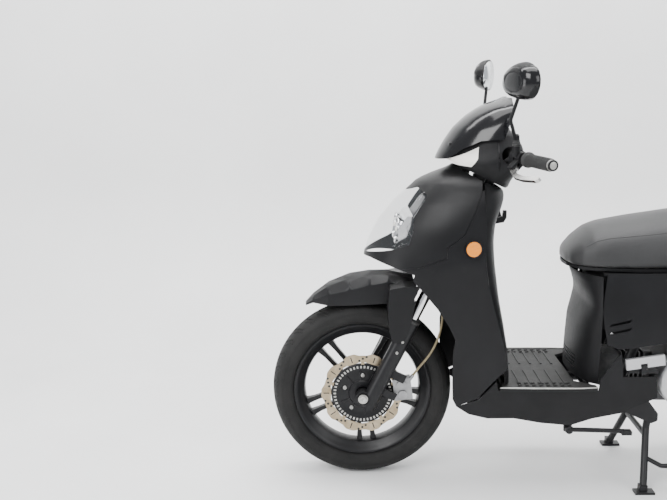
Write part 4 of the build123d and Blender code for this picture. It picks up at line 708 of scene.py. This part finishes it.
# ------------------------------------------------------------------ grips, mirrors, lamps
def grip(name, side, body, node):
    d = Vector((-sin(BAR_SWEEP), side * cos(BAR_SWEEP), 0))
    end = Vector((BAR_END[0], side * BAR_END[1], BAR_END[2]))
    prof = [(11.1, -125), (22, -125), (22, -119), (18.5, -116)]
    for k in range(27):
        a = -114 + k * 4.1
        prof += [(17.9, a), (17.9, a + 1.5), (16.5, a + 2.1), (16.5, a + 3.6)]
    prof += [(17.6, -2), (16.2, 0), (11.1, 0)]

    def ribs(a, r, h):
        return (r - (0.5 if -100 < h < -10 and r > 17 and (int(a * 36 / (2 * pi)) % 2) else 0), h)

    lathe(name, prof, end, d, "rubber", body, seg=144, closed=True, warp=ribs, angle=40, replaces=(node,))
    lathe(name + "_cap", [(0, 13.3), (9, 13.3), (13.5, 12), (15, 9), (15.1, 3), (14.2, 2), (14.2, 0)], end,
          d, "steel",
          "steering", seg=48)


grip("grip_left", 1, "steering", "left_grip")
grip("grip_right", -1, "throttle", "throttle_grip")

MIRROR_OUTLINE = [(-70, -22), (-40, -42), (30, -46), (62, -20), (66, 12), (48, 38), (0, 48), (-50, 36),
                  (-72, 6)]


def smooth_loop(points, steps=8):
    out, n = [], len(points)
    for k in range(n):
        p0, p1, p2, p3 = points[k - 1], points[k], points[(k + 1) % n], points[(k + 2) % n]
        for s in range(steps):
            t = s / steps
            point = []
            for a, b, c, d in zip(p0, p1, p2, p3):
                bend = (2 * a - 5 * b + 4 * c - d) * t * t + (-a + 3 * b - 3 * c + d) * t ** 3
                point.append(0.5 * ((2 * b) + (-a + c) * t + bend))
            out.append(tuple(point))
    return out


def mirror_head(side):
    s = "left" if side > 0 else "right"
    c = Vector((MIRROR_CENTRE[0], side * MIRROR_CENTRE[1], MIRROR_CENTRE[2]))
    u = Vector((-sin(MIRROR_YAW), side * cos(MIRROR_YAW), 0))
    n = Vector((-cos(MIRROR_YAW), -side * sin(MIRROR_YAW), 0))
    w = Vector((0, 0, 1))
    loop = smooth_loop(MIRROR_OUTLINE)
    verts, faces = [], []
    levels = [(0.10, -31.5), (0.34, -31), (0.58, -29.5), (0.78, -24), (0.92, -13), (0.99, 0), (1.0, 6),
              (0.985, 9.2),
              (0.95, 9.6), (0.935, 8.2)]
    ring = len(loop)
    for f, h in levels:
        for x, y in loop:
            verts.append(c + u * (x * f) + w * (y * f) + n * h)
    for k in range(len(levels) - 1):
        for j in range(ring):
            a, b = k * ring + j, k * ring + (j + 1) % ring
            faces.append((a, b, b + ring, a + ring))
    faces.append(list(range(ring)))
    make(f"mirror_shell_{s}", verts, faces, "gloss", f"mirror_{s}", angle=45)
    glass = [c + u * (x * 0.94) + w * (y * 0.94) + n * 8.9 for x, y in loop]
    make(f"mirror_glass_{s}", glass, [list(range(ring))], "mirror", f"mirror_{s}", thick=1.2)
    base = Vector((MIRROR_BASE[0], side * MIRROR_BASE[1], MIRROR_BASE[2]))
    prof = [(7, 0), (11.5, 0), (12, 4), (10.5, 6), (11, 10), (9.4, 12), (10, 16), (8.2, 18), (8.8, 22),
            (6.8, 25), (6.4, 31), (5.2, 33)]
    lathe(f"mirror_boot_{s}", prof, base, (0.04, side * 0.05, 1), "rubber", f"mirror_{s}", seg=36)


mirror_head(1)
mirror_head(-1)

for side in (-1, 1):
    s = "l" if side > 0 else "r"
    prof = [(6, -9), (12, -7), (24, -3), (33, 5), (38, 14), (40, 18), (41.5, 18.5), (41.5, 16), (36, 2),
            (24, -8), (10, -12)]
    lathe(f"lamp_bowl_{s}", prof, (LAMP_PLACE[0], side * LAMP_PLACE[1], LAMP_PLACE[2]), (1, 0, 0.12),
          "chrome", "chassis", seg=64, closed=True)
    lathe(f"lamp_bulb_{s}", [(0, 20), (4.5, 19), (6.5, 15), (6.8, 8), (6.2, 2), (8, 1), (8, -5), (0, -5)],
          (606, side * 42, 790),
          (1, 0, 0.12), "lamp_clear", "chassis", seg=28)
    lathe(f"reflector_rim_{s}", [(21.5, 8.2), (22.5, 9.2), (25.6, 9.0), (26.2, 6), (26.2, 1), (25.2, 0.5)],
          (410, side * 188, 762),
          (-0.1, side, 0.1), "gloss", "chassis", seg=56, closed=True)


for side in (-1, 1):
    s = "l" if side > 0 else "r"
    shade = []
    for i in range(9):
        z = 752 + i * 16.5
        row = []
        for j in range(5):
            x = 588 - 16 * abs(i - 3) ** 0.8 + 3 * j
            row.append((x, side * (6 + j * 26 * (1 - 0.055 * i)), z))
        shade.append(row)
    panel(f"lamp_inner_{s}", shade, "dark_lamp", "chassis", thick=1.5)


# ------------------------------------------------------------------ seat
SEAT_ROWS = [
    (113, 36, 690, 722), (98, 84, 690, 742), (70, 112, 690, 772), (35, 126, 690, 801), (0, 134, 690, 814),
    (-90, 146, 691, 828), (-200, 148, 692, 842), (-300, 146, 693, 854), (-345, 143, 694, 874),
    (-400, 139, 695, 902), (-480, 128, 696, 910), (-580, 108, 698, 906), (-640, 98, 699, 902),
    (-700, 84, 700, 888),
    (-742, 58, 702, 856),
]


def seat_ring(x, half, low, top, inset):
    h, t = half - inset, top - inset
    out = []
    rise = t - low
    for k in range(28):
        a = pi * k / 27
        y = h * cos(a) * (1 + 0.03 * sin(2 * a) ** 2)
        z = low + rise * (sin(a) ** 0.62 if a not in (0, pi) else 0)
        out.append((x, y, z))
    return out


def cushion():
    rows = []
    inset = 5.0
    for r in SEAT_ROWS:
        x = r[0] - 4 if r[0] > 100 else (r[0] + 4 if r[0] < -730 else r[0])
        rows.append(seat_ring(x, r[1], r[2] + 1, r[3], inset))
    verts, faces = [], []
    n = len(rows[0])
    for row in rows:
        verts += row
    for i in range(len(rows) - 1):
        for j in range(n):
            a, b = i * n + j, i * n + (j + 1) % n
            faces.append((a, b, b + n, a + n))
    faces.append(list(range(n)))
    faces.append([(len(rows) - 1) * n + j for j in range(n)])
    ob = make("seat_cover", verts, faces, "vinyl", "seat", replaces=("seat_cushion",))
    bpy.context.view_layer.objects.active = ob
    ob.select_set(True)
    remesh = ob.modifiers.new("voxel", "REMESH")
    remesh.mode = "VOXEL"
    remesh.voxel_size = 0.0062
    remesh.use_smooth_shade = True
    bpy.ops.object.modifier_apply(modifier="voxel")
    rest = [v.co.copy() for v in ob.data.vertices]
    cloth = ob.modifiers.new("cloth", "CLOTH")
    cloth.settings.quality = 4
    cloth.settings.mass = 0.2
    cloth.settings.use_pressure = True
    cloth.settings.uniform_pressure_force = 4
    cloth.settings.tension_stiffness = 30
    cloth.settings.compression_stiffness = 30
    cloth.settings.shear_stiffness = 10
    cloth.settings.bending_stiffness = 2
    cloth.settings.effector_weights.gravity = 0
    group = ob.vertex_groups.new(name="pin")
    low = [v.index for v in ob.data.vertices if v.co.z < 0.700]
    group.add(low, 1.0, "REPLACE")
    cloth.settings.vertex_group_mass = "pin"
    for f in range(1, 15):
        bpy.context.scene.frame_set(f)
    bpy.ops.object.modifier_apply(modifier="cloth")
    bpy.context.scene.frame_set(1)
    for v, r in zip(ob.data.vertices, rest):
        d = v.co - r
        if d.length > SWELL_CAP:
            v.co = r + d * (SWELL_CAP / d.length)
    relax = ob.modifiers.new("relax", "SMOOTH")
    relax.iterations = 6
    sub = ob.modifiers.new("sub", "SUBSURF")
    sub.levels = 1
    sub.render_levels = 1
    for p in ob.data.polygons:
        p.use_smooth = True
    ob.select_set(False)
    return ob


cover = cushion()
bpy.context.view_layer.update()
cover_eval = cover.evaluated_get(bpy.context.evaluated_depsgraph_get())


def on_cover(p):
    """The nearest point of the finished cushion, in millimetres."""
    local = cover.matrix_world.inverted() @ Vector([c * MM for c in p])
    _, spot, normal, _ = cover_eval.closest_point_on_mesh(local)
    q = cover.matrix_world @ (spot - normal * 0.0004)
    return (q.x / MM, q.y / MM, q.z / MM)


def seam(name, y_factor, z_factor, rows):
    pts = []
    for x, half, low, top in rows:
        pts.append((x, half * y_factor, low + (top - low) * z_factor))
    fine = []
    for a, b in zip(pts, pts[1:]):
        for k in range(4):
            fine.append(tuple(u + (v - u) * k / 4 for u, v in zip(a, b)))
    fine.append(pts[-1])
    tube(name, [on_cover(q) for q in fine], SEAM_RADIUS, "vinyl", "seat", order=3, res=4)
    tube(name + "_r", [on_cover(q) for q in mirror_y(fine)], SEAM_RADIUS, "vinyl", "seat", order=3, res=4)


seam("seat_piping", 0.925, 0.84, SEAT_ROWS[2:-1])
strip = []
for k in range(25):
    a = pi * k / 24
    strip.append((-318, 146 * cos(a), 694 + (862 - 694) * sin(a) ** 0.62 + 1))
tube("seat_cross_seam", [on_cover(q) for q in strip], SEAM_RADIUS, "vinyl", "seat", res=4)


# ------------------------------------------------------------------ body details
for k in range(2):
    for side in (-1, 1):
        tip("steering", f"screen_bolt_{k}_{'l' if side > 0 else 'r'}",
            (441 + 22 * k, side * (34 + 4 * k), 1002 + 46 * k),
            (0.82, side * 0.1, 0.5), "steel", 4.0)
for k in range(9):
    a = 2 * pi * k / 9
    bolt(f"cover_bolt_{k}", (-398 + 168 * cos(a) * (1.28 if abs(cos(a)) > 0.5 else 1), 100,
                             338 + 78 * sin(a)), (0, 1, 0), 5, "engine_unit",
         "steel", "hex", 5)
for k in range(11):
    x = -470 + k * 14
    verts = []
    for px in (x, x + 5):
        for pz in (318 - 22, 318 + 26):
            for py in (146.5, 151):
                verts.append((px + (pz - 318) * 0.35, py, pz))
    make(f"cover_rib_{k}", verts, list(BOX_FACES), "silver", "engine_unit", bevel=1.2)

for side in (-1, 1):
    s = "l" if side > 0 else "r"
    for i in range(8):
        for j in range(2):
            x, y = 98 + i * 21, side * (146 + j * 20)
            low = [(x, y), (x + 15, y - side * 7), (x + 15, y + side * 7)]
            high = [(x + 5, y), (x + 12.5, y - side * 3.5), (x + 12.5, y + side * 3.5)]
            tri = [(*q, FLOOR_TOP) for q in low] + [(*q, FLOOR_TOP + 3) for q in high]
            make(f"tread_{s}_{i}_{j}", tri, [(0, 1, 2), (3, 4, 5), (0, 1, 4, 3), (1, 2, 5, 4),
                                             (2, 0, 3, 5)], "floor_rubber", "chassis",
                 bevel=0.7)
    edge = [(316, 186), (240, 190), (141, 190), (60, 189.5), (30, 184)]
    tube(f"floor_edge_{s}", [(x, side * y, FLOOR_TOP) for x, y in edge], 2.2, "steel", "chassis", order=3)


# ------------------------------------------------------------------ studio
def floor():
    mesh = bpy.data.meshes.new("studio_floor")
    n, depth = 14, []
    for k in range(n + 1):
        a = pi / 2 * k / n
        depth.append((-1.1 - 0.7 * sin(a), 0.7 * (1 - cos(a))))
    prof = [(6.0, 0), (-1.1, 0)] + depth[1:] + [(-1.8, 4.5)]
    verts, faces = [], []
    for y, z in prof:
        verts += [(-6, y, z), (7, y, z)]
    for k in range(len(prof) - 1):
        a = 2 * k
        faces.append((a, a + 1, a + 3, a + 2))
    mesh.from_pydata(verts, [], faces)
    for p in mesh.polygons:
        p.use_smooth = True
    ob = bpy.data.objects.new("studio_floor", mesh)
    bpy.context.scene.collection.objects.link(ob)
    mesh.materials.append(M["studio"])


M["studio"] = surface("studio_paper", (0.80, 0.80, 0.795), (0.86, 0.86, 0.855), 0.6, 300, 0.02, spread=1.5)
floor()


def area(name, at, to, size, power, tint=(1, 1, 1)):
    light = bpy.data.lights.new(name, "AREA")
    light.shape = "RECTANGLE"
    light.size, light.size_y = size
    light.energy = power
    light.color = tint
    ob = bpy.data.objects.new(name, light)
    bpy.context.scene.collection.objects.link(ob)
    ob.location = at
    d = Vector(to) - Vector(at)
    ob.rotation_euler = d.to_track_quat("-Z", "Y").to_euler()


area("key", (2.6, 3.2, 3.4), (0.3, 0, 0.6), (2.4, 2.0), 170)
area("fill", (-2.6, 3.4, 2.4), (0.0, 0, 0.6), (2.6, 2.2), 80)
area("top", (0.2, 0.2, 4.2), (0.2, 0, 0), (3.5, 2.5), 170)
area("low_front", (3.4, 1.4, 0.8), (0.5, 0, 0.5), (1.2, 1.6), 30)
area("wall_wash", (0.6, -0.6, 3.6), (0.6, -1.8, 1.0), (5.0, 0.6), 110)
world = bpy.data.worlds.new("studio")
bpy.context.scene.world = world
world.use_nodes = True
world.node_tree.nodes["Background"].inputs["Color"].default_value = (0.92, 0.95, 1.0, 1)
world.node_tree.nodes["Background"].inputs["Strength"].default_value = 0.75

cam = bpy.data.cameras.new("camera")
cam.lens = 49.4
cam.sensor_width = 36
camera = bpy.data.objects.new("camera", cam)
bpy.context.scene.collection.objects.link(camera)
camera.location = (0.810, 2.745, 1.317)
camera.rotation_euler = (radians(90 - 12.3), 0, radians(180))
bpy.context.scene.camera = camera
